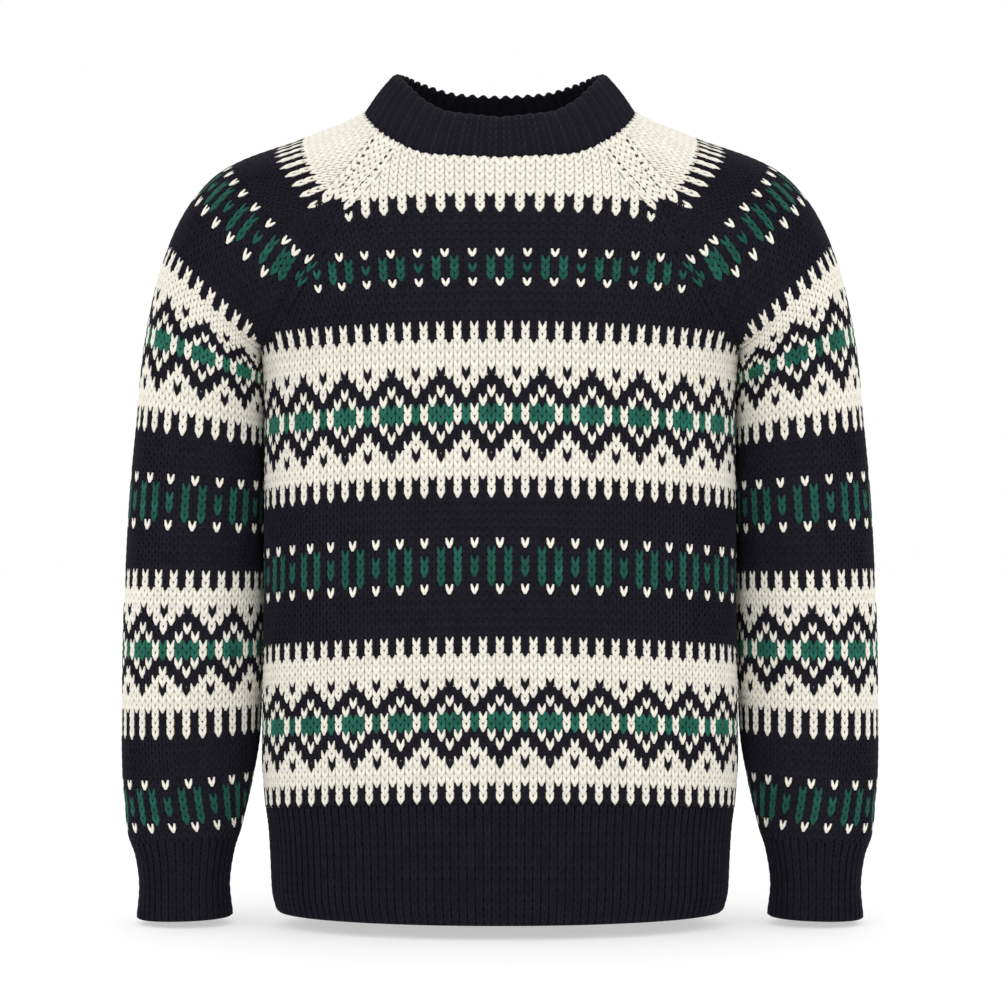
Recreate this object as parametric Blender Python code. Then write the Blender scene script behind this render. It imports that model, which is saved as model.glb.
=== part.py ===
"""Fair isle jumper: a raglan pullover in eight knitted pieces, filled out and hollow.

Lengths are in millimetres with +Z up, the front facing -Y and heights counted from the floor
under the cuffs; mesh_object() turns them into metres about the point where the wearer holds it.
Every surface is a set of rows. A row's "station" is 0 at the underarm, negative below it and
positive up to YOKE_TOP at the neck seam, so front, back and sleeve share their raglan edges.
"""
import bmesh
import bpy
import numpy as np

# --- driving dimensions -------------------------------------------------------------------
MM = 0.001
HELD_HEIGHT = 660.0        # neck base, where the wearer's shoulders carry the jumper
WALL = 3.5                 # knitted cloth
SEAM_GAP = 0.3
SIDE_Y = -4.0              # side seams and underarm lie this far in front of the middle
ROUNDNESS = 2.05           # exponent of the body's sections, 2 is an ellipse
SLEEVE_ROUNDNESS = 2.15
DROOP_POWER = 1.8          # how late a body row sinks on its way to the side seam
BODY_COLUMNS = 24
SLEEVE_COLUMNS = 24
YOKE_ROWS = 9
HEM_ROWS = 5
CUFF_ROWS = 4
NECK_RISES = (0.0, 0.45, 0.86)
CURVE_STEPS = 241          # fine points of a section before it is spread evenly
MITRE_LIMIT = 0.4          # cosine between two walls above which their seam is mitred
MERGE_DISTANCE = 0.02
SHARP_ANGLE = 50.0         # degrees between faces above which an edge stays crisp
BODY_ROWS_BELOW = 7
SLEEVE_ROWS_BELOW = 10
YOKE_TOP = 8               # stations of the neck seam, the seams to the bands and their edges
HEM_SEAM = -7
HEM_EDGE = -11
CUFF_SEAM = -9
CUFF_EDGE = -12

RIB_DEPTH = 1.6
HEM_RIBS = 144
NECK_RIBS = 90
CUFF_RIBS = 38
BAND_WALL = 4.0
NECKBAND_WALL = 5.0        # doubled over
NECK_CENTRE_Y = -11.0
NECK_HALF_WIDTH = 109.0
NECK_HALF_DEPTH = 81.0
NECK_TOP_CENTRE_Y = -9.0
NECK_TOP_HALF_WIDTH = 84.0
NECK_TOP_HALF_DEPTH = 65.0
NECK_BULGE = 1.5
FRONT_RAGLAN_TURN = 54.0   # degrees round the neck from the centre front
BACK_RAGLAN_TURN = 133.0
NECK_BLEND_FROM = 5.0      # station from which the rows bend to the neck's ring

NAVY = (0.012, 0.013, 0.024, 1.0)
CREAM = (0.80, 0.76, 0.66, 1.0)

# --- tables -------------------------------------------------------------------------------
# Front rows: height and depth at the centre front, then the row's end at the seam.
#         station  z_mid  y_mid   z_edge x_edge y_edge
FRONT = [
    (-11,   11.5, -102.0,   11.5, 180.5,  -4.0),   # bottom edge
    (-10,   30.0, -104.5,   28.0, 184.6,  -4.0),
    (-9,    58.0, -104.5,   53.0, 185.8,  -4.0),
    (-8,    88.0, -105.5,   79.0, 187.4,  -4.0),
    (-7,   108.0, -107.0,   95.0, 189.5,  -4.0),   # hem seam
    (-6,   150.0, -111.0,  137.0, 192.4,  -4.0),
    (-5,   213.0, -112.0,  200.0, 191.6,  -4.0),
    (-4,   274.0, -112.5,  262.0, 191.0,  -4.0),
    (-3,   345.0, -112.5,  333.0, 190.3,  -4.0),
    (-2,   410.0, -112.5,  400.0, 189.6,  -4.0),
    (-1,   449.0, -112.0,  440.0, 190.4,  -4.0),
    (0,    471.0, -112.0,  464.0, 193.0,  -4.0),   # underarm
    (1,    475.0, -112.0,  468.0, 190.5, -24.0),
    (2,    485.5, -111.0,  480.0, 184.0, -42.0),
    (3,    503.0, -109.5,  500.0, 173.0, -58.0),
    (4,    531.0, -107.0,  529.0, 155.5, -70.0),
    (5,    549.0, -105.0,  550.0, 143.0, -73.5),
    (6,    570.0, -102.0,  575.0, 128.0, -74.0),
    (7,    592.0,  -97.5,  602.0, 105.0, -68.5),
    (8,    610.0,  -92.0,  626.0,  88.0, -59.0),   # neck seam
]
BACK = [
    (-11,   11.5,   96.0,   11.5, 180.5,  -4.0),
    (-10,   30.0,   98.5,   28.0, 184.6,  -4.0),
    (-9,    58.0,   98.5,   53.0, 185.8,  -4.0),
    (-8,    88.0,   99.5,   79.0, 187.4,  -4.0),
    (-7,   108.0,  101.0,   95.0, 189.5,  -4.0),
    (-6,   150.0,  106.0,  137.0, 192.4,  -4.0),
    (-5,   213.0,  108.0,  200.0, 191.6,  -4.0),
    (-4,   274.0,  109.0,  262.0, 191.0,  -4.0),
    (-3,   345.0,  110.0,  333.0, 190.3,  -4.0),
    (-2,   410.0,  111.0,  400.0, 189.6,  -4.0),
    (-1,   449.0,  111.5,  440.0, 190.4,  -4.0),
    (0,    471.0,  111.5,  464.0, 193.0,  -4.0),
    (1,    476.0,  111.5,  470.0, 190.5,  20.0),
    (2,    496.0,  111.0,  490.0, 183.0,  46.0),
    (3,    526.0,  109.0,  521.0, 170.0,  66.0),
    (4,    556.0,  105.0,  553.0, 154.0,  76.0),
    (5,    583.0,   99.5,  580.0, 139.0,  78.0),
    (6,    608.0,   91.5,  608.0, 121.0,  73.5),
    (7,    629.0,   81.5,  633.0, 100.0,  62.0),
    (8,    646.0,   70.0,  656.5,  80.0,  44.0),
]
# Right sleeve: the outer (upper) end of each row and the half depth of its section.
#         station  x_out  z_out  y_out  half_depth
SLEEVE = [
    (-12,  295.0,   4.5,   4.0,  36.5),   # cuff's edge
    (-11,  292.8,  30.0,   4.5,  37.5),
    (-10,  296.0,  55.0,   5.5,  40.5),
    (-9,   301.0,  69.5,   6.0,  43.5),   # cuff seam
    (-8,   306.2, 110.2,  10.0,  51.5),
    (-7,   307.5, 152.3,  13.0,  56.0),
    (-6,   307.0, 221.0,  14.0,  58.0),
    (-5,   304.6, 284.3,  14.0,  58.5),
    (-4,   301.2, 345.0,  13.0,  59.0),
    (-3,   295.6, 401.0,  10.0,  60.0),
    (-2,   289.0, 462.0,   4.0,  61.0),
    (-1,   281.8, 499.0,  -1.0,  61.5),
    (0,    274.0, 530.0,  -4.0,  61.5),   # underarm
    (1,    270.2, 540.8,  -3.5,  62.5),
    (2,    264.3, 556.7,  -3.0,  66.0),
    (3,    252.6, 579.7,  -2.5,  72.5),
    (4,    229.0, 606.4,  -2.5,  78.0),
    (5,    207.0, 618.4,  -3.0,  80.0),
    (6,    180.4, 627.6,  -4.0,  78.5),
    (7,    139.8, 639.8,  -7.0,  71.5),
    (8,    109.0, 656.5, -11.0,  55.0),   # neck seam
]
# The same rows' lower end, under the arm.
#         station  x_in   z_in
UNDER_SLEEVE = [
    (-12,  216.0,   6.5),
    (-11,  218.8,  32.0),
    (-10,  215.2,  58.5),
    (-9,   210.8,  73.5),
    (-8,   201.0, 116.0),
    (-7,   194.8, 157.0),
    (-6,   192.6, 222.0),
    (-5,   192.0, 282.0),
    (-4,   191.4, 338.5),
    (-3,   190.9, 387.5),
    (-2,   191.3, 432.0),
    (-1,   192.2, 452.0),
    (0,    193.0, 464.0),
]
# Heights of the neck seam and of the neckband's top edge, by the turn from the centre front,
# and how far the wall leans back from upright there.
#         turn  z_base  z_top  base_lean  top_lean
NECK = [
    (0,   611.0, 645.5, 22.0, 24.0),
    (30,  615.0, 651.5, 26.0, 27.0),
    (45,  623.5, 660.5, 32.0, 32.0),
    (60,  635.5, 673.0, 40.0, 38.0),
    (75,  648.0, 683.0, 48.0, 43.0),
    (90,  656.5, 687.5, 53.0, 45.0),
    (108, 659.5, 688.5, 50.0, 42.0),
    (130, 657.0, 684.0, 42.0, 34.0),
    (155, 649.5, 677.5, 34.0, 28.0),
    (180, 646.0, 676.0, 31.0, 26.0),
]


# --- curves -------------------------------------------------------------------------------
def smooth(table, column, key):
    """A column of a table at a key of its first column, on a smooth curve with no overshoot."""
    keys = np.array([row[0] for row in table], float)
    values = np.array([row[column] for row in table], float)
    spans = np.diff(keys)
    slopes = np.diff(values) / spans
    tangents = np.empty(len(keys))
    tangents[0] = slopes[0]
    tangents[-1] = slopes[-1]
    product = slopes[1:] * slopes[:-1]
    total = np.where(product > 0.0, slopes[1:] + slopes[:-1], 1.0)
    tangents[1:-1] = np.where(product > 0.0, 2.0 * product / total, 0.0)
    key = np.asarray(key, float)
    i = np.clip(np.searchsorted(keys, key, side="right") - 1, 0, len(keys) - 2)
    t = (key - keys[i]) / spans[i]
    curve = values[i] + (values[i + 1] - values[i]) * t * t * (3.0 - 2.0 * t)
    curve += tangents[i] * spans[i] * t * (1.0 - t) ** 2
    return curve - tangents[i + 1] * spans[i] * t * t * (1.0 - t)


def spread(points, fractions):
    """Points of a polyline at fractions -1 to 1 of its length."""
    steps = np.linalg.norm(np.diff(points, axis=0), axis=1)
    along = np.concatenate([[0.0], np.cumsum(steps)])
    at = (np.asarray(fractions) + 1.0) * 0.5 * along[-1]
    return np.stack([np.interp(at, along, points[:, k]) for k in range(3)], axis=1)


def power(value, exponent):
    return np.sign(value) * np.abs(value) ** exponent


def unit(vectors):
    return vectors / np.linalg.norm(vectors, axis=-1, keepdims=True)


# --- neck ---------------------------------------------------------------------------------
def neck_outward(turns, rise=0.0):
    """Outward direction of the neck's wall, leaning back by the table's angle."""
    angle = np.radians(turns)
    around = np.abs((np.asarray(turns, float) + 180.0) % 360.0 - 180.0)
    low = smooth(NECK, 3, around)
    lean = np.radians(low + (smooth(NECK, 4, around) - low) * rise)
    flat = np.stack([np.sin(angle) / NECK_HALF_WIDTH, -np.cos(angle) / NECK_HALF_DEPTH], axis=1)
    flat = unit(flat) * np.cos(lean)[:, None]
    return np.concatenate([flat, np.sin(lean)[:, None]], axis=1)


def neck_ring(turns, rise=0.0):
    """Points of the neckband's outer side: rise 0 is the neck seam, 1 the top edge."""
    angle = np.radians(turns)
    wide = NECK_HALF_WIDTH + (NECK_TOP_HALF_WIDTH - NECK_HALF_WIDTH) * rise
    deep = NECK_HALF_DEPTH + (NECK_TOP_HALF_DEPTH - NECK_HALF_DEPTH) * rise
    centre = NECK_CENTRE_Y + (NECK_TOP_CENTRE_Y - NECK_CENTRE_Y) * rise
    around = np.abs((np.asarray(turns, float) + 180.0) % 360.0 - 180.0)
    low = smooth(NECK, 1, around)
    z = low + (smooth(NECK, 2, around) - low) * rise
    ring = np.stack([wide * np.sin(angle), centre - deep * np.cos(angle), z], axis=1)
    return ring + neck_outward(turns, rise) * NECK_BULGE * np.sin(np.pi * rise)


def neck_share(station):
    """How far a row near the neck follows the neck's ring, 0 to 1."""
    return max(0.0, (station - NECK_BLEND_FROM) / (YOKE_TOP - NECK_BLEND_FROM)) ** 2


# --- rows of the cloth --------------------------------------------------------------------
def seam_end(table, station):
    """The right-hand end of a body row."""
    return np.array([smooth(table, column, station) for column in (4, 5, 3)])


def body_section(table, station, fractions):
    """A body row from the left seam to the right one, before the neck shapes it."""
    z_mid, y_mid, z_edge, x_edge, y_edge = [smooth(table, k, station) for k in range(1, 6)]
    depth = y_mid - SIDE_Y
    share = np.clip((y_edge - SIDE_Y) / depth, 0.0, 1.0)
    half_width = x_edge / (1.0 - share ** ROUNDNESS) ** (1.0 / ROUNDNESS)
    end = np.arcsin(min(1.0, (x_edge / half_width) ** (ROUNDNESS / 2.0)))
    angle = np.linspace(-end, end, CURVE_STEPS)
    x = half_width * power(np.sin(angle), 2.0 / ROUNDNESS)
    y = SIDE_Y + depth * np.abs(np.cos(angle)) ** (2.0 / ROUNDNESS)
    row = spread(np.stack([x, y, np.zeros_like(x)], axis=1), fractions)
    row[:, 2] = z_mid + (z_edge - z_mid) * np.abs(fractions) ** DROOP_POWER
    return row


def body_row(table, station, fractions):
    """A row of the front or back, at fractions -1 (left seam) to 1 (right seam)."""
    row = body_section(table, station, fractions)
    share = neck_share(station)
    if share > 0.0:
        if table is FRONT:
            turns = FRONT_RAGLAN_TURN * fractions
        else:
            turns = 180.0 - (180.0 - BACK_RAGLAN_TURN) * fractions
        row += (neck_ring(turns) - body_section(table, YOKE_TOP, fractions)) * share
    return row


def sleeve_section(station, fractions):
    """A row of the right sleeve, from its front end over the outer side to its back end."""
    x_out, z_out, y_out, half_depth = [smooth(SLEEVE, k, station) for k in range(1, 5)]
    if station > 0:
        front = seam_end(FRONT, station)
        back = seam_end(BACK, station)
        middle = (front + back) / 2.0
        half_chord = np.linalg.norm(back - front) / 2.0
        across = (back - front) / (2.0 * half_chord)
    else:
        x_in, z_in = [smooth(UNDER_SLEEVE, k, station) for k in (1, 2)]
        middle = np.array([x_in, y_out, z_in])
        half_chord = 0.0
        across = np.array([0.0, 1.0, 0.0])
    reach = np.array([x_out, y_out, z_out]) - middle
    length = np.linalg.norm(reach) - SEAM_GAP
    outward = unit(reach)
    middle = middle + outward * SEAM_GAP
    share = (1.0 - (half_chord / half_depth) ** SLEEVE_ROUNDNESS) ** (1.0 / SLEEVE_ROUNDNESS)
    half_length = length / (1.0 + share)
    end = np.arccos(-share ** (SLEEVE_ROUNDNESS / 2.0))
    angle = np.linspace(-end, end, CURVE_STEPS)
    out = length - half_length + half_length * power(np.cos(angle), 2.0 / SLEEVE_ROUNDNESS)
    side = half_depth * power(np.sin(angle), 2.0 / SLEEVE_ROUNDNESS)
    return spread(middle + np.outer(out, outward) + np.outer(side, across), fractions)


def sleeve_row(station, fractions):
    """A row of the right sleeve at fractions -1 (front end) to 1 (back end)."""
    row = sleeve_section(station, fractions)
    share = neck_share(station)
    if share > 0.0:
        gap = np.degrees(SEAM_GAP / NECK_HALF_WIDTH)
        low = FRONT_RAGLAN_TURN + gap
        high = BACK_RAGLAN_TURN - gap
        turns = low + (high - low) * (fractions + 1.0) / 2.0
        row += (neck_ring(turns) - sleeve_section(YOKE_TOP, fractions)) * share
    return row


# --- walls --------------------------------------------------------------------------------
def grid_outward(grid, closed_rows=0):
    """Outward directions of a grid of points; the first closed_rows rows are whole rings."""
    across = np.gradient(grid, axis=1)
    along = np.gradient(grid, axis=0)
    wrapped = (grid[:closed_rows, 1] - grid[:closed_rows, -2]) / 2.0
    joined = (along[:closed_rows, 0] + along[:closed_rows, -1]) / 2.0
    for column in (0, -1):
        across[:closed_rows, column] = wrapped
        along[:closed_rows, column] = joined
    return unit(np.cross(across, along))


def ring_outward(ring):
    """Outward directions of a closed ring of points, within its own plane."""
    centre = ring.mean(axis=0)
    ahead = np.roll(ring, -1, axis=0)
    axis = unit(np.cross(ring - centre, ahead - centre).sum(axis=0))
    return unit(np.cross(ahead - np.roll(ring, 1, axis=0), axis))


def draw_back(grid, row, towards, gap):
    """Shortens a grid by a gap at one of its end rows."""
    grid[row] += unit(grid[towards] - grid[row]) * gap


def body_panel(table):
    """Outer points and outward directions of the front or back."""
    below = np.linspace(HEM_SEAM, 0, BODY_ROWS_BELOW + 1)[:-1]
    yoke = np.linspace(0, YOKE_TOP, YOKE_ROWS + 1)
    fractions = np.linspace(-1.0, 1.0, BODY_COLUMNS + 1)
    grid = np.array([body_row(table, s, fractions) for s in np.concatenate([below, yoke])])
    outward = grid_outward(grid)
    if table is BACK:
        outward = -outward
    side_rows = len(below) + 1
    outward[:side_rows, 0] = (-1.0, 0.0, 0.0)
    outward[:side_rows, -1] = (1.0, 0.0, 0.0)
    outward[0, :, 2] = 0.0
    outward[0] = unit(outward[0])
    if table is FRONT:
        outward[-1] = neck_outward(FRONT_RAGLAN_TURN * fractions)
    else:
        outward[-1] = neck_outward(180.0 - (180.0 - BACK_RAGLAN_TURN) * fractions)
    return grid, outward


def sleeve_panel():
    """Outer points and outward directions of the right sleeve."""
    below = np.linspace(CUFF_SEAM, 0, SLEEVE_ROWS_BELOW + 1)[:-1]
    yoke = np.linspace(0, YOKE_TOP, YOKE_ROWS + 1)
    fractions = np.linspace(-1.0, 1.0, SLEEVE_COLUMNS + 1)
    grid = np.array([sleeve_row(s, fractions) for s in np.concatenate([below, yoke])])
    closed = len(below) + 1
    outward = grid_outward(grid, closed)
    cuff = ring_outward(grid[0, :-1])
    outward[0] = np.concatenate([cuff, cuff[:1]])
    turns = np.linspace(FRONT_RAGLAN_TURN, BACK_RAGLAN_TURN, SLEEVE_COLUMNS + 1)
    outward[-1] = neck_outward(turns)
    return grid, outward, closed


def share_seam(one, other):
    """Gives two walls that meet at less than a right angle one direction along their seam."""
    meets = (one * other).sum(axis=1) > MITRE_LIMIT
    common = unit(one + other)
    one[meets] = common[meets]
    other[meets] = common[meets]


def mirrored(points):
    return points * np.array([-1.0, 1.0, 1.0])


# --- meshes -------------------------------------------------------------------------------
def wool(name, colour):
    material = bpy.data.materials.new(name)
    material.use_nodes = True
    shader = material.node_tree.nodes["Principled BSDF"]
    shader.inputs["Base Color"].default_value = colour
    shader.inputs["Roughness"].default_value = 0.9
    shader.inputs["Metallic"].default_value = 0.0
    return material


def mesh_object(name, points, faces, colour, collection):
    """One closed body from points in millimetres, placed about the held point in metres."""
    points = (np.asarray(points) - np.array([0.0, 0.0, HELD_HEIGHT])) * MM
    mesh = bpy.data.meshes.new(name)
    mesh.from_pydata(points.tolist(), [], faces)
    shape = bmesh.new()
    shape.from_mesh(mesh)
    bmesh.ops.remove_doubles(shape, verts=shape.verts, dist=MERGE_DISTANCE * MM)
    bmesh.ops.recalc_face_normals(shape, faces=shape.faces)
    bmesh.ops.triangulate(shape, faces=shape.faces)
    shape.to_mesh(mesh)
    shape.free()
    mesh.shade_smooth()
    mesh.set_sharp_from_angle(angle=np.radians(SHARP_ANGLE))
    mesh.materials.append(wool("wool_" + name, colour))
    collection.objects.link(bpy.data.objects.new(name, mesh))


def wall_faces(rows, columns, first_open_row=0):
    """Faces of a wall from two grids, outer then inner, with its four edges."""
    def corner(layer, row, column):
        return (layer * rows + row) * columns + column

    faces = []
    for r in range(rows - 1):
        for c in range(columns - 1):
            for layer in (0, 1):
                quad = [corner(layer, r, c), corner(layer, r, c + 1),
                        corner(layer, r + 1, c + 1), corner(layer, r + 1, c)]
                faces.append(quad if layer == 0 else quad[::-1])
    for r in range(first_open_row, rows - 1):
        for c in (0, columns - 1):
            faces.append([corner(0, r, c), corner(1, r, c),
                          corner(1, r + 1, c), corner(0, r + 1, c)])
    for c in range(columns - 1):
        for r in (0, rows - 1):
            faces.append([corner(0, r, c), corner(1, r, c),
                          corner(1, r, c + 1), corner(0, r, c + 1)])
    return faces


def panel(name, grid, outward, colour, collection, first_open_row=0):
    inner = grid - outward * WALL
    points = np.concatenate([grid.reshape(-1, 3), inner.reshape(-1, 3)])
    rows, columns = grid.shape[:2]
    mesh_object(name, points, wall_faces(rows, columns, first_open_row), colour, collection)


def bridge(first, second, first_start, second_start):
    """Faces between two closed rings of which one may have two points to the other's one."""
    if first < second:
        return [face[::-1] for face in bridge(second, first, second_start, first_start)]
    faces = []
    for i in range(second):
        after = second_start + (i + 1) % second
        here = second_start + i
        if first == second:
            faces.append([first_start + i, first_start + (i + 1) % first, after, here])
            continue
        valley, crest, following = [first_start + (2 * i + k) % first for k in range(3)]
        faces.append([valley, crest, here])
        faces.append([crest, following, after])
        faces.append([crest, after, here])
    return faces


def ribbed_band(name, rings, colour, collection):
    """A closed band whose wall's profile runs through the rings and back to the first."""
    starts = np.cumsum([0] + [len(ring) for ring in rings])
    faces = []
    for k, ring in enumerate(rings):
        following = (k + 1) % len(rings)
        faces += bridge(len(ring), len(rings[following]), starts[k], starts[following])
    faces = [[int(corner) for corner in face] for face in faces]
    mesh_object(name, np.concatenate(rings), faces, colour, collection)


def ribs(ring, outward):
    """Sinks every other point of a ring, starting with the first, into a valley."""
    ribbed = ring.copy()
    ribbed[::2] -= outward[::2] * RIB_DEPTH
    return ribbed


# --- pieces -------------------------------------------------------------------------------
def body_and_sleeves(collection):
    front, front_out = body_panel(FRONT)
    back, back_out = body_panel(BACK)
    sleeve, sleeve_out, closed = sleeve_panel()
    raglan = slice(BODY_ROWS_BELOW + 1, None)
    sleeve_raglan = slice(SLEEVE_ROWS_BELOW + 1, None)
    for body_out, column in ((front_out, 0), (back_out, -1)):
        share_seam(body_out[raglan, -1], sleeve_out[sleeve_raglan, column])
        body_out[raglan, 0] = mirrored(body_out[raglan, -1])
    for grid in (front, back, sleeve):
        draw_back(grid, 0, 1, SEAM_GAP)
        draw_back(grid, -1, -2, SEAM_GAP)
    for grid in (front, back):
        turned = grid.swapaxes(0, 1)
        draw_back(turned, 0, 1, SEAM_GAP / 2.0)
        draw_back(turned, -1, -2, SEAM_GAP / 2.0)
    panel("front", front, front_out, CREAM, collection)
    panel("back", back, back_out, CREAM, collection)
    panel("sleeve_right", sleeve, sleeve_out, CREAM, collection, closed - 1)
    panel("sleeve_left", mirrored(sleeve), mirrored(sleeve_out), CREAM, collection, closed - 1)


def hem_band(collection):
    half = np.linspace(-1.0, 1.0, HEM_RIBS + 1)
    outer = []
    inner = []
    for station in np.linspace(HEM_EDGE, HEM_SEAM, HEM_ROWS):
        there = body_row(FRONT, station, half)[:-1]
        around = body_row(BACK, station, half)[:0:-1]
        ring = np.concatenate([there, around])
        outward = ring_outward(ring)
        outer.append(ribs(ring, outward))
        inner.insert(0, (ring - outward * BAND_WALL)[::2])
    ribbed_band("hem_band", outer + inner, NAVY, collection)


def cuffs(collection):
    fractions = np.linspace(-1.0, 1.0, 2 * CUFF_RIBS + 1)[:-1]
    outer = []
    inner = []
    for station in np.linspace(CUFF_EDGE, CUFF_SEAM, CUFF_ROWS):
        ring = sleeve_section(station, fractions)
        outward = ring_outward(ring)
        outer.append(ribs(ring, outward))
        inner.insert(0, (ring - outward * BAND_WALL)[::2])
    ribbed_band("cuff_right", outer + inner, NAVY, collection)
    left = [mirrored(ring) for ring in outer + inner]
    ribbed_band("cuff_left", left, NAVY, collection)


def neckband(collection):
    turns = np.arange(2 * NECK_RIBS) * 180.0 / NECK_RIBS
    outer = [ribs(neck_ring(turns, rise), neck_outward(turns, rise)) for rise in NECK_RISES]
    inner = [neck_ring(turns[::2], rise) - neck_outward(turns[::2], rise) * NECKBAND_WALL
             for rise in (NECK_RISES[-1], 0.0)]
    crown = neck_ring(turns[::2], 1.0) - neck_outward(turns[::2], 1.0) * NECKBAND_WALL / 2.0
    ribbed_band("neckband", outer + [crown] + inner, NAVY, collection)


def main():
    for old in list(bpy.data.objects):
        bpy.data.objects.remove(old, do_unlink=True)
    collection = bpy.data.collections.new("fair_isle_jumper")
    bpy.context.scene.collection.children.link(collection)
    body_and_sleeves(collection)
    hem_band(collection)
    cuffs(collection)
    neckband(collection)


main()
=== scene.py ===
"""Fair isle jumper: the knitting of a raglan pullover, stitch by stitch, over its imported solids.

Shapes are worked out in millimetres with heights from the floor under the cuffs, as the solids
are, and in_frame() turns them into the frame's metres. A row's "station" is 0 at the underarm,
negative below it and 8 at the neck seam. A knit row lies between two stations; a stitch is a V
of two plump legs, sheared to its own cell of the cloth.
"""

import bmesh
import bpy
import numpy as np
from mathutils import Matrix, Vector


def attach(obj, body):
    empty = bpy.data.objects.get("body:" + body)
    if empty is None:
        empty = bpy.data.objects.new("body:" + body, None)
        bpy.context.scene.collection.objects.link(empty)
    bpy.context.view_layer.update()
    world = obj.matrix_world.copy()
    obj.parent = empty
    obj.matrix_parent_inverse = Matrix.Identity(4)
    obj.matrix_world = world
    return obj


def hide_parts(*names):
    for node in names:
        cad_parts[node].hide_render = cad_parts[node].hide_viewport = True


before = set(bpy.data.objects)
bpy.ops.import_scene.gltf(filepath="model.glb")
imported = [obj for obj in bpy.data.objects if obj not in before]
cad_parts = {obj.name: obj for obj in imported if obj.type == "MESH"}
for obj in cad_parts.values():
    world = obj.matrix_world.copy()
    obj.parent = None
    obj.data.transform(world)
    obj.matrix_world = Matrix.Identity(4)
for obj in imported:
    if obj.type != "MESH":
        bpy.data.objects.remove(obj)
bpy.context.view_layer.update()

bl_info = {
    "name": "Fair Isle Jumper",
    "version": (1, 0, 0),
    "blender": (4, 5, 0),
    "location": "View3D > Sidebar > Jumper",
    "description": "Knits a raglan pullover stitch by stitch around its solids",
    "category": "Object",
}

BODY = "root"

# --- sizes shared with the solids, in millimetres ---
MM = 0.001
HELD_HEIGHT = 660.0        # neck base above the floor
SIDE_Y = -4.0              # of the side seams
ROUNDNESS = 2.05           # of the trunk's sections, where 2 is an ellipse
SLEEVE_ROUNDNESS = 2.15
DROOP_POWER = 1.8          # how late a section turns down towards its seam
CURVE_STEPS = 241          # along a section before its points are spread evenly
ACROSS_RING = np.array([0.0, 1.0, 0.0])
SEAM_GAP = 0.3
WALL = 3.5
BAND_WALL = 4.0
YOKE_TOP = 8               # stations of the seams and edges
HEM_SEAM = -7
HEM_EDGE = -11
CUFF_SEAM = -9
CUFF_EDGE = -12
HEM_RIBS = 144
NECK_RIBS = 56
CUFF_RIBS = 38
NECK_CENTRE_Y = -11.0
NECK_HALF_WIDTH = 109.0
NECK_HALF_DEPTH = 81.0
NECK_TOP_CENTRE_Y = -9.0
NECK_TOP_HALF_WIDTH = 84.0
NECK_TOP_HALF_DEPTH = 65.0
NECK_BULGE = 1.5
FRONT_RAGLAN_TURN = 54.0   # degrees round the neck from the centre front
BACK_RAGLAN_TURN = 133.0
NECK_BLEND_FROM = 5.0      # rows above this station turn into the neck's ring

# The same forms as the solids', but that the body and the sleeves are up to 0.8 mm nearer to
# each other under the arm, where knitting rests against knitting.
#    station  z_mid  y_front y_back  z_edge x_edge
TRUNK = [
    (-11,  11.5, -102.0,  96.0,  11.5, 180.5),
    (-10,  30.0, -104.5,  98.5,  28.0, 184.6),
    (-9,   58.0, -104.5,  98.5,  53.0, 185.8),
    (-8,   88.0, -105.5,  99.5,  79.0, 187.4),
    (-7,  108.0, -107.0, 101.0,  95.0, 189.5),
    (-6,  150.0, -111.0, 106.0, 137.0, 192.4),
    (-5,  213.0, -112.0, 108.0, 200.0, 191.6),
    (-4,  274.0, -112.5, 109.0, 262.0, 191.0),
    (-3,  345.0, -112.5, 110.0, 333.0, 190.5),
    (-2,  410.0, -112.5, 111.0, 400.0, 190.3),
    (-1,  449.0, -112.0, 111.5, 440.0, 191.1),
    (0,   471.0, -112.0, 111.5, 464.0, 193.0),
]
#    station z_mid   y_mid  z_edge x_edge y_edge
FRONT = [(s, z, y, z_edge, x, SIDE_Y) for s, z, y, _, z_edge, x in TRUNK] + [
    (1, 475.0, -112.0, 468.0, 190.5, -24.0),
    (2, 485.5, -111.0, 480.0, 184.0, -42.0),
    (3, 503.0, -109.5, 500.0, 173.0, -58.0),
    (4, 531.0, -107.0, 529.0, 155.5, -70.0),
    (5, 549.0, -105.0, 550.0, 143.0, -73.5),
    (6, 570.0, -102.0, 575.0, 128.0, -74.0),
    (7, 592.0,  -97.5, 602.0, 105.0, -68.5),
    (8, 610.0,  -92.0, 626.0,  88.0, -59.0),
]
BACK = [(s, z, y, z_edge, x, SIDE_Y) for s, z, _, y, z_edge, x in TRUNK] + [
    (1, 476.0, 111.5, 470.0, 190.5, 20.0),
    (2, 496.0, 111.0, 490.0, 183.0, 46.0),
    (3, 526.0, 109.0, 521.0, 170.0, 66.0),
    (4, 556.0, 105.0, 553.0, 154.0, 76.0),
    (5, 583.0,  99.5, 580.0, 139.0, 78.0),
    (6, 608.0,  91.5, 608.0, 121.0, 73.5),
    (7, 629.0,  81.5, 633.0, 100.0, 62.0),
    (8, 646.0,  70.0, 656.5,  80.0, 44.0),
]
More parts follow.
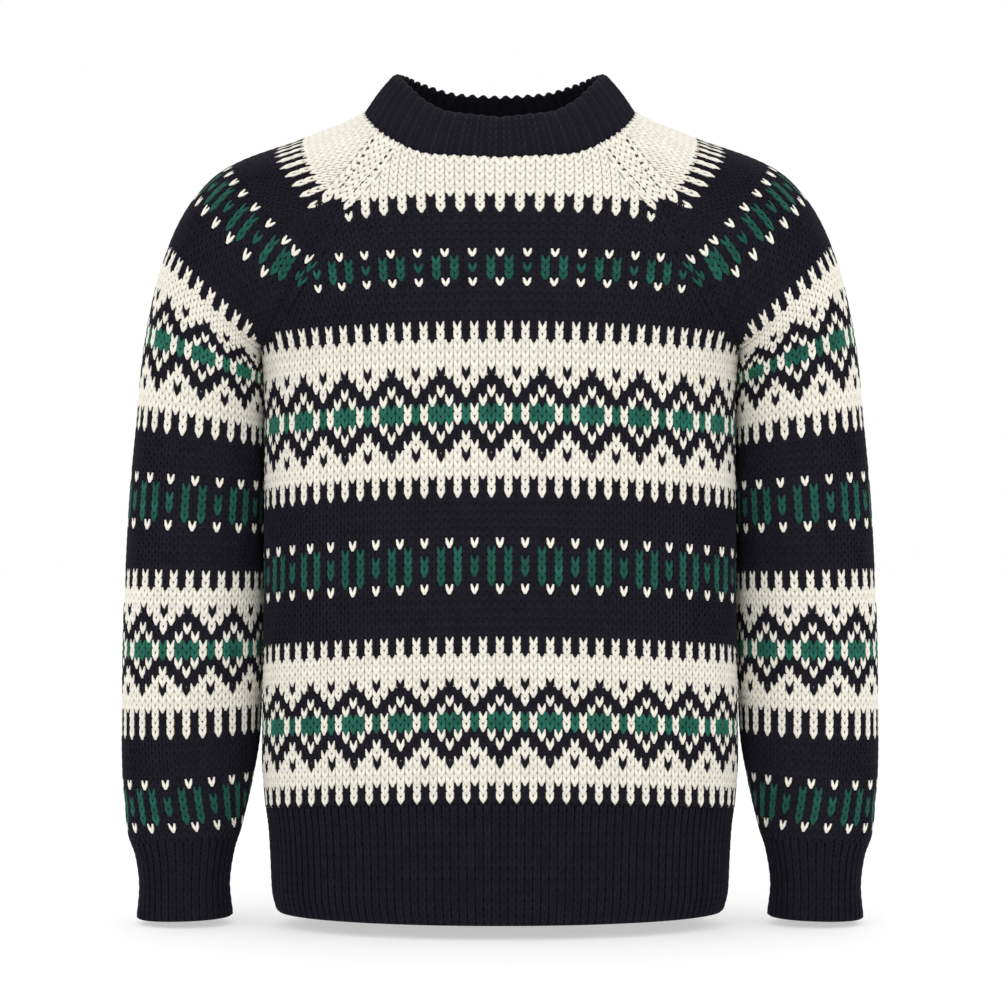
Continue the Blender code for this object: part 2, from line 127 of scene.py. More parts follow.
#         station  x_out  z_out  y_out  half_depth
SLEEVE = [
    (-12,  295.0,   4.5,   4.0,  36.5),
    (-11,  292.8,  30.0,   4.5,  37.5),
    (-10,  296.0,  55.0,   5.5,  40.5),
    (-9,   301.0,  69.5,   6.0,  43.5),
    (-8,   306.2, 110.2,  10.0,  51.5),
    (-7,   307.5, 152.3,  13.0,  56.0),
    (-6,   307.0, 221.0,  14.0,  58.0),
    (-5,   304.6, 284.3,  14.0,  58.5),
    (-4,   301.2, 345.0,  13.0,  59.0),
    (-3,   295.6, 401.0,  10.0,  60.0),
    (-2,   289.0, 462.0,   4.0,  61.0),
    (-1,   281.8, 499.0,  -1.0,  61.5),
    (0,    274.0, 530.0,  -4.0,  61.5),
    (1,    270.2, 540.8,  -3.5,  62.5),
    (2,    264.3, 556.7,  -3.0,  66.0),
    (3,    252.6, 579.7,  -2.5,  72.5),
    (4,    229.0, 606.4,  -2.5,  78.0),
    (5,    207.0, 618.4,  -3.0,  80.0),
    (6,    180.4, 627.6,  -4.0,  78.5),
    (7,    139.8, 639.8,  -7.0,  71.5),
    (8,    109.0, 656.5, -11.0,  55.0),
]
#         station  x_in   z_in
UNDER_SLEEVE = [
    (-12,  216.0,   6.5),
    (-11,  218.8,  32.0),
    (-10,  215.2,  58.5),
    (-9,   210.8,  73.5),
    (-8,   201.0, 116.0),
    (-7,   194.8, 157.0),
    (-6,   192.6, 222.0),
    (-5,   192.0, 282.0),
    (-4,   191.4, 338.5),
    (-3,   190.7, 387.5),
    (-2,   190.7, 432.0),
    (-1,   191.6, 452.0),
    (0,    193.0, 464.0),
]
#         turn  z_base  z_top  base_lean  top_lean
NECK = [
    (0,   611.0, 645.5, 22.0, 24.0),
    (30,  615.0, 651.5, 26.0, 27.0),
    (45,  623.5, 660.5, 32.0, 32.0),
    (60,  635.5, 673.0, 40.0, 38.0),
    (75,  648.0, 683.0, 48.0, 43.0),
    (90,  656.5, 687.5, 53.0, 45.0),
    (108, 659.5, 688.5, 50.0, 42.0),
    (130, 657.0, 684.0, 42.0, 34.0),
    (155, 649.5, 677.5, 34.0, 28.0),
    (180, 646.0, 676.0, 31.0, 26.0),
]

# --- knitting ---
# Charts run from their lowest row up and repeat every six stitches: N navy, C cream, G green
# and W the bright cream flecks of the small bands. A marks the cream arches at the neckband.
DIAMONDS = (
    "NCNCNC", "NCNCNC", "CCCCCC", "CCCCCC", "NCCNCC", "CCNNNC", "CNNCNN", "NNCNCN", "GCGGGC",
    "GCGGGC", "NNCNCN", "CNNCNN", "CCNNNC", "NCCNCC", "CCCCCC", "CCCCCC", "CCCCCC", "NCNCNC",
    "NCNCNC",
)
# Low on the sleeves the lower teeth are longer, with less cream above the diamonds.
LOW_DIAMONDS = ("NCNCNC",) + DIAMONDS[:16] + DIAMONDS[17:]
SMALL = ("WNNWNN", "NNGNGN", "GNGNGN", "GNGNGN", "NNGNGN", "WNNWNN")
YOKE_SMALL = ("WNNWNN", "NNGNGN", "GNGNGN", "NNGNGN", "WNNWNN")
LOWER_HALF, UPPER_HALF = DIAMONDS[:9], DIAMONDS[9:]
PLAIN = ("NNNNNN",)
TEETH = ("NCNCNC",)
CREAM = ("CCCCCC",)

# Bands of the body from the hem seam up: rows of the front and of the back, the stations of the
# top line at the centre and at the raglan seam, and the stitch that stands at the centre.
#    chart    front back  top    top at seam  centre
BODY_BANDS = [
    (PLAIN,       1,  1, -6.945, -6.945, 3),
    (LOWER_HALF,  9,  9, -5.615, -5.615, 3),
    (UPPER_HALF, 10, 10, -4.602, -4.602, 3),
    (PLAIN,       5,  5, -4.040, -4.040, 3),
    (SMALL,       6,  6, -3.429, -3.429, 3),
    (PLAIN,       5,  5, -2.968, -2.968, 3),
    (DIAMONDS,   19, 19,  1.686,  1.686, 4),
    (PLAIN,       4,  6,  3.272,  3.170, 3),
    (YOKE_SMALL,  5,  5,  4.404,  4.280, 3),
    (PLAIN,       5,  5,  5.954,  5.480, 3),
    (TEETH,       2,  2,  6.491,  6.050, 3),
    (CREAM,       5,  4,  8.0,    8.0,   3),
]
# Bands of the sleeve from the cuff seam up.
#    chart      rows  top  top at seam  centre
SLEEVE_BANDS = [
    (PLAIN,         1, -8.764, -8.764, 5),
    (SMALL,         6, -7.810, -7.810, 5),
    (PLAIN,         5, -6.998, -6.998, 5),
    (LOW_DIAMONDS, 19, -4.940, -4.940, 5),
    (PLAIN,         5, -4.393, -4.393, 5),
    (SMALL,         6, -3.609, -3.609, 5),
    (PLAIN,         5, -2.983, -2.983, 5),
    (LOWER_HALF,    9, -1.607, -1.607, 5),
    (UPPER_HALF,   10,  1.686,  1.686, 5),
    (PLAIN,         5,  3.300,  3.170, 5),
    (YOKE_SMALL,    5,  4.620,  4.280, 5),
    (PLAIN,         6,  6.050,  5.480, 5),
    (TEETH,         2,  6.550,  6.050, 5),
    (CREAM,         9,  8.0,    8.0,   5),
]
ROW_BEND = 2.6             # how late a row turns down towards its seam
# Stitch widths up the body, and up the sleeve.
#    station  width
BODY_WIDTHS = [
    (-7,  6.50),
    (-4,  6.55),
    (0,   6.60),
    (1.7, 6.65),
    (3.2, 7.00),
    (4.4, 7.20),
    (6,   7.70),
    (8,   7.90),
]
SLEEVE_WIDTHS = [
    (-9,  6.15),
    (-7,  6.50),
    (-3,  6.70),
    (1.7, 6.75),
    (3.3, 6.35),
    (4.6, 6.15),
    (6.3, 6.10),
    (8,   6.30),
]
EDGE_COLUMNS = 2           # fashioned stitches that run along a raglan seam
EDGE_WIDTH = 6.6
EDGE_PITCH = 7.2           # length of a fashioned stitch along the seam
EDGE_SPREAD = 1.2          # they are plumper than their columns, so the seam closes
EDGE_LIFT = 0.5
# Eyelets beside each raglan seam, counted from the neck, and how many columns from the seam the
# first and the last of them are.
EYELETS = np.arange(1, 8)
EYELET_COLUMNS = (1.55, 0.95)
UNDERARM = (-0.40, 0.0, 0.40)   # stations of the stitch that closes each underarm's corner
UNDERARM_COLUMN = 0.25
LEAST_AT_SEAM = -0.15      # of a stitch that has to fit before a side seam
STITCH_TONE = 0.6          # how much tone varies from stitch to stitch
ROW_TONE = 0.25            # and from row to row
SHADED_GREEN_TONE = -1.8           # painted shade: green stitches between navy ones lie deeper, so their colour is darkened
STITCH_SEED = 7

# --- soft creases ---
# Troughs (depth above 0) and ridges (below 0) from one point of the cloth to another, in
# stations and fractions -1 to 1 of the row.
#     station  fraction  station  fraction  half_width  depth
FRONT_CREASES = [
    (-0.6,  0.90,   1.6,  0.62,  11.0,  2.2),
    (-0.9, -0.90,   1.3, -0.66,  12.0,  2.0),
    (-1.4,  0.93,  -0.9,  0.70,  10.0,  1.2),
    (-1.8, -0.93,  -1.1, -0.74,   9.0,  1.0),
    (-6.3, -0.70,  -6.1, -0.20,  14.0,  1.0),
    (-6.2,  0.15,  -6.4,  0.75,  13.0,  1.1),
    (-4.6,  0.84,  -3.1,  0.74,  16.0,  1.2),
    (-4.3, -0.86,  -2.9, -0.78,  17.0,  1.1),
]
BACK_CREASES = [
    (-0.7,  0.88,   1.8,  0.60,  12.0,  2.0),
    (-0.8, -0.90,   1.5, -0.64,  11.0,  2.2),
    (-2.4, -0.55,  -2.2,  0.50,  22.0,  1.4),
    (-6.2, -0.50,  -6.3,  0.55,  14.0,  1.2),
]
SLEEVE_CREASES = [
    (-1.6, -0.96,  -2.4, -0.45,  10.0,  1.8),
    (-0.6, -0.92,  -0.9, -0.45,  12.0,  1.8),
    (-4.6, -0.95,  -5.1, -0.35,  13.0,  1.5),
    (-5.6, -0.90,  -5.2, -0.50,  10.0,  1.0),
    (-7.9, -0.85,  -7.6, -0.25,   9.0,  1.3),
    (-8.3, -0.30,  -8.2,  0.25,   8.0,  1.0),
    (-2.0,  0.92,  -2.8,  0.35,  12.0,  1.6),
    (-5.0,  0.90,  -5.4,  0.30,  13.0,  1.4),
    (6.9,  -0.40,   6.9,  0.40,  18.0, -2.8),
]

# --- how the cloth is built ---
CREASE_ENDS = 0.15         # share of a half wave that a crease leaves out at each end
CREASE_FADE = 0.08         # of a half row, beside its seams
STATION_STEP = 0.0625
FINE_COLUMNS = 120
COLUMN_STEPS = 61          # along a plain column of the yoke
LEAST_STEPS = 6            # of them, for a column that's long enough to be knitted
SEAM_STEPS = 161
ROUNDING = 1e-6
GROUND_COLUMNS = 30
GROUND_DEPTH = 1.5         # ground cloth under the stitches, below the outer surface
ROW_MARK = "cream_row"     # 1 on the ground cloth's cream rows, 0 on its dark ones
CLOSE_GAP = 0.05           # between cloths that are sewn together, hidden by the stitches
MITRE_LIMIT = 0.4          # cosine above which two walls share one direction at their seam
MERGE_DISTANCE = 0.02
RIB_POINTS = 6             # round one rib
RIB_SHARPNESS = 1.4        # above 1 the valleys are narrower than the crests


# --- curves ---
def smooth(table, column, key):
    """A column of a table at a key of its first column, on a smooth curve with no overshoot."""
    keys = np.array([row[0] for row in table], float)
    values = np.array([row[column] for row in table], float)
    spans = np.diff(keys)
    slopes = np.diff(values) / spans
    tangents = np.empty(len(keys))
    tangents[0] = slopes[0]
    tangents[-1] = slopes[-1]
    product = slopes[1:] * slopes[:-1]
    total = np.where(product > 0.0, slopes[1:] + slopes[:-1], 1.0)
    tangents[1:-1] = np.where(product > 0.0, 2.0 * product / total, 0.0)
    key = np.asarray(key, float)
    i = np.clip(np.searchsorted(keys, key, side="right") - 1, 0, len(keys) - 2)
    t = (key - keys[i]) / spans[i]
    curve = values[i] + (values[i + 1] - values[i]) * t * t * (3.0 - 2.0 * t)
    curve += tangents[i] * spans[i] * t * (1.0 - t) ** 2
    return curve - tangents[i + 1] * spans[i] * t * t * (1.0 - t)


def running(steps):
    """Sums of the steps so far, from 0."""
    return np.concatenate([[0.0], np.cumsum(steps)])


def lengths(points):
    """Length of a polyline up to each of its points."""
    return running(np.linalg.norm(np.diff(points, axis=0), axis=1))


def spread(points, fractions):
    """Points of a polyline at fractions -1 to 1 of its length."""
    along = lengths(points)
    at = (np.asarray(fractions) + 1.0) * 0.5 * along[-1]
    return np.stack([np.interp(at, along, points[:, k]) for k in range(3)], axis=1)


def power(value, exponent):
    return np.sign(value) * np.abs(value) ** exponent


def unit(vectors):
    return vectors / np.linalg.norm(vectors, axis=-1, keepdims=True)


def in_frame(points):
    """Millimetres from the floor to the frame's metres."""
    return (np.asarray(points) - np.array([0.0, 0.0, HELD_HEIGHT])) * MM


def mirrored(vectors):
    return vectors * np.array([-1.0, 1.0, 1.0])


def joined(parts):
    """Arrays of the same kind from every part, end to end."""
    return [np.concatenate(group) for group in zip(*parts)]


# --- neck ---
def neck_value(turns, rise, base, top):
    """A value of the neck's table all round, between its columns for the base and the top."""
    around = np.abs((np.asarray(turns, float) + 180.0) % 360.0 - 180.0)
    low = smooth(NECK, base, around)
    return low + (smooth(NECK, top, around) - low) * rise


def neck_outward(turns, rise=0.0):
    """Outward direction of the neck's wall, leaning back by the table's angle."""
    angle = np.radians(turns)
    lean = np.radians(neck_value(turns, rise, 3, 4))
    flat = np.stack([np.sin(angle) / NECK_HALF_WIDTH, -np.cos(angle) / NECK_HALF_DEPTH], axis=1)
    flat = unit(flat) * np.cos(lean)[:, None]
    return np.concatenate([flat, np.sin(lean)[:, None]], axis=1)


def neck_ring(turns, rise=0.0):
    """Points of the neckband's outer side: rise 0 is the neck seam, 1 the top edge."""
    angle = np.radians(turns)
    wide = NECK_HALF_WIDTH + (NECK_TOP_HALF_WIDTH - NECK_HALF_WIDTH) * rise
    deep = NECK_HALF_DEPTH + (NECK_TOP_HALF_DEPTH - NECK_HALF_DEPTH) * rise
    centre = NECK_CENTRE_Y + (NECK_TOP_CENTRE_Y - NECK_CENTRE_Y) * rise
    z = neck_value(turns, rise, 1, 2)
    ring = np.stack([wide * np.sin(angle), centre - deep * np.cos(angle), z], axis=1)
    return ring + neck_outward(turns, rise) * NECK_BULGE * np.sin(np.pi * rise)


def neck_share(station):
    """How far a row near the neck follows the neck's ring, 0 to 1."""
    return max(0.0, (station - NECK_BLEND_FROM) / (YOKE_TOP - NECK_BLEND_FROM)) ** 2


# --- rows of the cloth ---
def seam_end(table, station):
    """The right-hand end of a body row."""
    return np.array([smooth(table, column, station) for column in (4, 5, 3)])


def body_section(table, station, fractions):
    """A body row from the left seam to the right one, before the neck shapes it."""
    z_mid, y_mid, z_edge, x_edge, y_edge = [smooth(table, k, station) for k in range(1, 6)]
    depth = y_mid - SIDE_Y
    share = np.clip((y_edge - SIDE_Y) / depth, 0.0, 1.0)
    half_width = x_edge / (1.0 - share ** ROUNDNESS) ** (1.0 / ROUNDNESS)
    end = np.arcsin(min(1.0, (x_edge / half_width) ** (ROUNDNESS / 2.0)))
    angle = np.linspace(-end, end, CURVE_STEPS)
    x = half_width * power(np.sin(angle), 2.0 / ROUNDNESS)
    y = SIDE_Y + depth * np.abs(np.cos(angle)) ** (2.0 / ROUNDNESS)
    row = spread(np.stack([x, y, np.zeros_like(x)], axis=1), fractions)
    row[:, 2] = z_mid + (z_edge - z_mid) * np.abs(fractions) ** DROOP_POWER
    return row


def body_row(table, station, fractions):
    """A row of the front or back, at fractions -1 (left seam) to 1 (right seam)."""
    row = body_section(table, station, fractions)
    share = neck_share(station)
    if share > 0.0:
        if table is FRONT:
            turns = FRONT_RAGLAN_TURN * fractions
        else:
            turns = 180.0 - (180.0 - BACK_RAGLAN_TURN) * fractions
        row += (neck_ring(turns) - body_section(table, YOKE_TOP, fractions)) * share
    return row


def sleeve_section(station, fractions):
    """A row of the right sleeve, from its front end over the outer side to its back end."""
    x_out, z_out, y_out, half_depth = [smooth(SLEEVE, k, station) for k in range(1, 5)]
    if station > 0:
        front = seam_end(FRONT, station)
        back = seam_end(BACK, station)
        middle = (front + back) / 2.0
        half_chord = np.linalg.norm(back - front) / 2.0
        meets = min(1.0, station)
        across = unit((back - front) / (2.0 * half_chord) * meets + ACROSS_RING * (1.0 - meets))
    else:
        x_in, z_in = [smooth(UNDER_SLEEVE, k, station) for k in (1, 2)]
        middle = np.array([x_in, y_out, z_in])
        half_chord = 0.0
        across = ACROSS_RING
    reach = np.array([x_out, y_out, z_out]) - middle
    length = np.linalg.norm(reach) - SEAM_GAP
    outward = unit(reach)
    middle = middle + outward * SEAM_GAP
    share = (1.0 - (half_chord / half_depth) ** SLEEVE_ROUNDNESS) ** (1.0 / SLEEVE_ROUNDNESS)
    half_length = length / (1.0 + share)
    end = np.arccos(-share ** (SLEEVE_ROUNDNESS / 2.0))
    angle = np.linspace(-end, end, CURVE_STEPS)
    out = length - half_length + half_length * power(np.cos(angle), 2.0 / SLEEVE_ROUNDNESS)
    side = half_depth * power(np.sin(angle), 2.0 / SLEEVE_ROUNDNESS)
    return spread(middle + np.outer(out, outward) + np.outer(side, across), fractions)


def sleeve_row(station, fractions):
    """A row of the right sleeve at fractions -1 (front end) to 1 (back end)."""
    row = sleeve_section(station, fractions)
    share = neck_share(station)
    if share > 0.0:
        gap = np.degrees(SEAM_GAP / NECK_HALF_WIDTH)
        low = FRONT_RAGLAN_TURN + gap
        high = BACK_RAGLAN_TURN - gap
        turns = low + (high - low) * (fractions + 1.0) / 2.0
        row += (neck_ring(turns) - sleeve_section(YOKE_TOP, fractions)) * share
    return row


def grid_outward(grid, closed_rows=0):
    """Outward directions of a grid of points; the first closed_rows rows are whole rings."""
    across = np.gradient(grid, axis=1)
    along = np.gradient(grid, axis=0)
    seam_across = (grid[:closed_rows, 1] - grid[:closed_rows, -2]) / 2.0
    seam_along = (along[:closed_rows, 0] + along[:closed_rows, -1]) / 2.0
    for column in (0, -1):
        across[:closed_rows, column] = seam_across
        along[:closed_rows, column] = seam_along
    return unit(np.cross(across, along))


# --- the three cloths ---
class Cloth:
    """The outer surface of a knitted piece, as a fine grid over station and fraction."""

    def __init__(self, row_at, low_station, widths, side=1.0, closed_below=None):
        self.widths = widths
        self.side = side
        self.stations = np.arange(low_station, YOKE_TOP + STATION_STEP / 2.0, STATION_STEP)
        self.fractions = np.linspace(-1.0, 1.0, FINE_COLUMNS + 1)
        self.grid = np.array([row_at(s, self.fractions) for s in self.stations])
        self.closed = 0 if closed_below is None else int((self.stations <= closed_below).sum())
        self.outward = grid_outward(self.grid, self.closed) * side
        steps = np.linalg.norm(np.diff(self.grid, axis=1), axis=2)
        self.half_lengths = steps.sum(axis=1) / 2.0
        self.heights = lengths(self.grid[:, FINE_COLUMNS // 2])

    def width(self, station):
        """Width of a stitch."""
        return smooth(self.widths, 1, station)

    def half_length(self, station):
        return np.interp(station, self.stations, self.half_lengths)

    def height(self, station):
        """Length of the centre line up to a station."""
        return np.interp(station, self.stations, self.heights)

    def station(self, height):
        return np.interp(height, self.heights, self.stations)

    def crease(self, creases):
        """Presses soft troughs and ridges into the cloth, which fade out at its seams."""
        wide = self.fractions[None, :] * self.half_lengths[:, None]
        flat = np.stack([wide, np.broadcast_to(self.heights[:, None], wide.shape)], axis=2)
        depth = np.zeros(wide.shape)
        for *ends, half_width, amount in creases:
            low, high = [
                np.array([fraction * self.half_length(station), self.height(station)])
                for station, fraction in (ends[:2], ends[2:])
            ]
            run = high - low
            t = np.clip((flat - low) @ run / (run @ run), 0.0, 1.0)
            away = np.linalg.norm(flat - low - t[..., None] * run, axis=2)
            wave = np.sin(np.pi * (CREASE_ENDS + (1.0 - 2.0 * CREASE_ENDS) * t))
            depth += amount * np.exp(-(away / half_width) ** 2) * wave
        edge = np.clip((1.0 - np.abs(self.fractions)) / CREASE_FADE, 0.0, 1.0)
        edge = edge * edge * (3.0 - 2.0 * edge)
        self.grid = self.grid - self.outward * (depth * edge[None, :])[..., None]
        self.outward = grid_outward(self.grid, self.closed) * self.side

    def look_up(self, values, stations, fractions):
        """Values of the fine grid between its points."""
        stations, fractions = np.broadcast_arrays(stations, fractions)
        r = (np.asarray(stations, float) - self.stations[0]) / STATION_STEP
        c = (np.asarray(fractions, float) + 1.0) * 0.5 * FINE_COLUMNS
        r = np.clip(r, 0.0, len(self.stations) - 1 - ROUNDING)
        c = np.clip(c, 0.0, FINE_COLUMNS - ROUNDING)
        i = r.astype(int)
        j = c.astype(int)
        u = (r - i)[..., None]
        v = (c - j)[..., None]
        low = values[i, j] * (1.0 - v) + values[i, j + 1] * v
        high = values[i + 1, j] * (1.0 - v) + values[i + 1, j + 1] * v
        return low * (1.0 - u) + high * u

    def at(self, stations, fractions, depth=0.0):
        """Points at a depth below the outer surface."""
        outward = self.look_up(self.outward, stations, fractions)
        return self.look_up(self.grid, stations, fractions) - outward * depth

    def out(self, stations, fractions):
        return unit(self.look_up(self.outward, stations, fractions))


def share_seam(one, other):
    """Gives two walls that meet at less than a right angle one direction along their seam."""
    meets = (one * other).sum(axis=1) > MITRE_LIMIT
    common = unit(one + other)
    one[meets] = common[meets]
    other[meets] = common[meets]


def make_cloths():
    front = Cloth(lambda s, f: body_row(FRONT, s, f), HEM_SEAM, BODY_WIDTHS)
    back = Cloth(lambda s, f: body_row(BACK, s, f), HEM_SEAM, BODY_WIDTHS, side=-1.0)
    sleeve = Cloth(sleeve_row, CUFF_SEAM, SLEEVE_WIDTHS, closed_below=0.0)
    front.crease(FRONT_CREASES)
    back.crease(BACK_CREASES)
    sleeve.crease(SLEEVE_CREASES)
    yoke = front.stations > 0.0
    sleeve_yoke = sleeve.stations > 0.0
    for body, column in ((front, 0), (back, -1)):
        body.outward[~yoke, 0] = (-1.0, 0.0, 0.0)
        body.outward[~yoke, -1] = (1.0, 0.0, 0.0)
        edge = body.outward[yoke, -1]
        sleeve_edge = sleeve.outward[sleeve_yoke, column]
        share_seam(edge, sleeve_edge)
        body.outward[yoke, -1] = edge
        body.outward[yoke, 0] = mirrored(edge)
        sleeve.outward[sleeve_yoke, column] = sleeve_edge
    return {"front": front, "back": back, "sleeve": sleeve}


# --- knit rows ---
def row_stations(line, fractions):
    """Stations along a row's line, which is (station at the centre, station at the seams)."""
    middle, seam = line
    return middle + (seam - middle) * np.abs(fractions) ** ROW_BEND


def knit_rows(cloth, bands, low):
    """[(low line, high line, chart row, centre stitch)] from the lowest row up."""
    rows = []
    low = (low, low)
    for chart, count, top, top_at_seam, centre in bands:
        shares = np.linspace(0.0, 1.0, count + 1)
        lines = [
            cloth.station(cloth.height(a) + (cloth.height(b) - cloth.height(a)) * shares)
            for a, b in zip(low, (top, top_at_seam))
        ]
        lines = list(zip(*lines))
        for k in range(count):
            rows.append((lines[k], lines[k + 1], chart[k % len(chart)], centre))
        low = (top, top_at_seam)
    return rows


def last_column(cloth, station):
    """Number of the last middle column that fits, short of the seam."""
    return int(np.floor(width_left(cloth, station) / cloth.width(station) - LEAST_AT_SEAM))


def width_left(cloth, station):
    """Half the length of a row that its middle columns may fill, short of its seam."""
    edge = np.where(np.asarray(station) > 0.0, EDGE_COLUMNS * EDGE_WIDTH, 0.0)
    return cloth.half_length(station) - edge


def column_fractions(cloth, numbers, stations):
    return numbers * cloth.width(stations) / cloth.half_length(stations)


def row_cells(cloth, low, high):
    """Cells of a row's middle columns, which keep their distance from the centre."""
    middle = ((low[0] + high[0]) / 2.0, (low[1] + high[1]) / 2.0)
    last = last_column(cloth, min(middle))
    numbers = np.arange(-last, last + 1)
    stations, lines = [], []
    for line in (low, middle, high):
        near = column_fractions(cloth, numbers, line[0])
        stations.append(row_stations(line, near))
        lines.append(column_fractions(cloth, numbers, stations[-1]))
    return row_frames(cloth, stations, lines, cloth.width(stations[1])), numbers


def column_cells(cloth, low, pitch):
    """Cells of the plain columns from a row's line up to the neck seam or their raglan seam.

    Rows fan out towards the seams, so a column has as many stitches as fit its own length.
    """
    last = last_column(cloth, low[1])
    parts, tops = [], []
    for number in range(-last, last + 1):
        near = column_fractions(cloth, number, low[0])
        fine = np.linspace(row_stations(low, near), YOKE_TOP, COLUMN_STEPS)
        reach = (abs(number) + LEAST_AT_SEAM) * cloth.width(fine)
        fits = np.minimum.accumulate(reach <= width_left(cloth, fine))
        fine = fine[fits]
        if len(fine) < LEAST_STEPS:
            continue
        along = lengths(cloth.at(fine, column_fractions(cloth, number, fine)))
        count = max(1, int(round(along[-1] / pitch)))
        marks = np.interp(np.linspace(0.0, along[-1], 2 * count + 1), along, fine)
        stations = [marks[:-1:2], marks[1::2], marks[2::2]]
        lines = [column_fractions(cloth, number, s) for s in stations]
        parts.append(row_frames(cloth, stations, lines, cloth.width(stations[1])))
        tops.append(np.arange(count) == count - 1 if fits.all() else np.zeros(count, bool))
    return joined(parts), np.concatenate(tops)


def framed(origin, across, up, outward, lift=0.0):
    """Cells as origin, across, up and outward, turned to face outwards and lifted."""
    turned = (np.cross(across, up) * outward).sum(axis=-1) < 0.0
    across = np.where(turned[..., None], -across, across)
    normal = unit(np.cross(across, up))
    return origin + normal * lift, across, up, normal


def row_frames(cloth, stations, lines, width, lift=0.0):
    """Cells between the low and the high of three lots of stations and fractions."""
    low, middle, high = stations
    half = cloth.half_length(middle)
    origin = cloth.at(low, lines[0])
    up = cloth.at(high, lines[2]) - origin
    left = np.clip(lines[1] - 0.5 * width / half, -1.0, 1.0)
    right = np.clip(lines[1] + 0.5 * width / half, -1.0, 1.0)
    across = cloth.at(middle, right) - cloth.at(middle, left)
    across *= (width / ((right - left) * half))[..., None]
    return framed(origin, across, up, cloth.out(middle, lines[1]), lift)


def edge_stations(cloth, side):
    """Stations of the fashioned stitches of a seam, one stitch apart along the seam."""
    stations = np.linspace(0.0, YOKE_TOP, SEAM_STEPS)
    along = lengths(cloth.at(stations, side))
    count = int(round(along[-1] / EDGE_PITCH))
    return np.interp(np.linspace(0.0, along[-1], count + 1), along, stations)


def seam_cells(cloth, side, column, places, width, lift=0.0):
    """Cells along a seam, so many columns from it, and the fractions of their middles."""
    lines = [side * (1.0 - column * EDGE_WIDTH / cloth.half_length(s)) for s in places]
    return row_frames(cloth, places, lines, width, lift), lines[1]


def seam_letter(rows, k, number, column):
    """Yarn of a stitch in a column along a seam, where rows of teeth end in a whole tooth."""
    chart, centre = rows[k][2:]
    if chart == TEETH[0]:
        return "C" if column == 1 and rows[k + 1][2] == CREAM[0] else "N"
    return chart[(int(round(number)) + centre) % len(chart)]


def stitch_tones(rng, letters, charts, mean=0.0):
    """A tone for each stitch, with painted shade that darkens a green one that its chart sets
    between navy ones.
    """
    # painted shade on the green stitches that lie between navy ones
    deep = [letter == "G" and "GN" in chart for letter, chart in zip(letters, charts)]
    return rng.normal(mean, STITCH_TONE, len(letters)) + SHADED_GREEN_TONE * np.array(deep, float)


def knit_cells(cloth, rows, rng):
    """All the cells of a piece as {yarn letter: [origins, across, up, outward, tones]}."""
    found = {}

    def gather(cells, letters, tones):
        for letter in sorted(set(letters)):
            mine = letters == letter
            found.setdefault(letter, []).append([part[mine] for part in (*cells, tones)])

    plain = next(k for k in range(len(rows)) if set("".join(r[2] for r in rows[k:])) == {"C"})
    for low, high, chart, centre in rows[:plain]:
        cells, numbers = row_cells(cloth, low, high)
        letters = np.array([chart[(n + centre) % len(chart)] for n in numbers])
        mean = rng.normal(0.0, ROW_TONE)
        gather(cells, letters, stitch_tones(rng, letters, [chart] * len(letters), mean))
    pitch = (cloth.height(YOKE_TOP) - cloth.height(rows[plain][0][0])) / (len(rows) - plain)
    cells, tops = column_cells(cloth, rows[plain][0], pitch)
    letters = np.where(tops, "A", "C")
    gather(cells, letters, stitch_tones(rng, letters, letters))
    for side in (-1.0, 1.0):
        stations = edge_stations(cloth, side)
        middle = (stations[:-1] + stations[1:]) / 2.0
        places = [stations[:-1], middle, stations[1:]]
        for column in range(EDGE_COLUMNS):
            cells, line = seam_cells(
                cloth, side, column + 0.5, places, EDGE_WIDTH * EDGE_SPREAD, EDGE_LIFT)
            numbers = cloth.half_length(middle) * line / EDGE_WIDTH
            tops = np.array([row_stations(high, line) for _, high, _, _ in rows])
            in_row = (tops < middle - ROUNDING).sum(axis=0).clip(max=len(rows) - 1)
            letters = np.array([seam_letter(rows, k, n, column) for k, n in zip(in_row, numbers)])
            gather(cells, letters, stitch_tones(rng, letters, [rows[k][2] for k in in_row]))
        picked = len(middle) - 1 - EYELETS
        columns = np.linspace(*EYELET_COLUMNS, len(EYELETS))
        cells, _ = seam_cells(
            cloth, side, columns, [s[picked] for s in places], EDGE_WIDTH, EDGE_LIFT)
        letters = np.full(len(picked), "E")
        gather(cells, letters, stitch_tones(rng, letters, letters))
        corner = [np.array([s]) for s in UNDERARM]
        cells, _ = seam_cells(cloth, side, UNDERARM_COLUMN, corner, EDGE_WIDTH)
        gather(cells, np.array(["C"]), np.zeros(1))
    return {letter: joined(groups) for letter, groups in found.items()}


def mirror_cells(cells):
    """The same cells for the left sleeve, turned so that their frames stay right-handed."""
    origin, across, up, outward, tones = cells
    return [mirrored(origin), -mirrored(across), mirrored(up), mirrored(outward), tones]


# --- one stitch ---
# A leg's centre line and thickness from its tip in the row below to its top: across and half
# width in stitch widths, up in row heights, and the rest in millimetres outwards.
#   across   up    out  half_width  ridge  back
LEG = [
    (0.055, -0.31, -0.75, 0.085,    0.35,  0.4),
    (0.225,  0.34, -0.62, 0.285,    0.80,  0.5),
    (0.395,  1.05, -0.90, 0.100,    0.35,  0.4),
]
LIGHT_LEG = [
    (0.055, -0.31, -0.62, 0.100,    0.50,  0.4),
    (0.225,  0.34, -0.62, 0.280,    0.85,  0.5),
    (0.385,  1.05, -0.58, 0.150,    0.55,  0.5),
]
# A fleck is a smaller stitch that stands alone.
FLECK_LEG = [
    (0.055, -0.16, -0.62, 0.100,    0.50,  0.4),
    (0.205,  0.34, -0.55, 0.250,    0.80,  0.5),
    (0.365,  0.95, -0.58, 0.130,    0.50,  0.5),
]
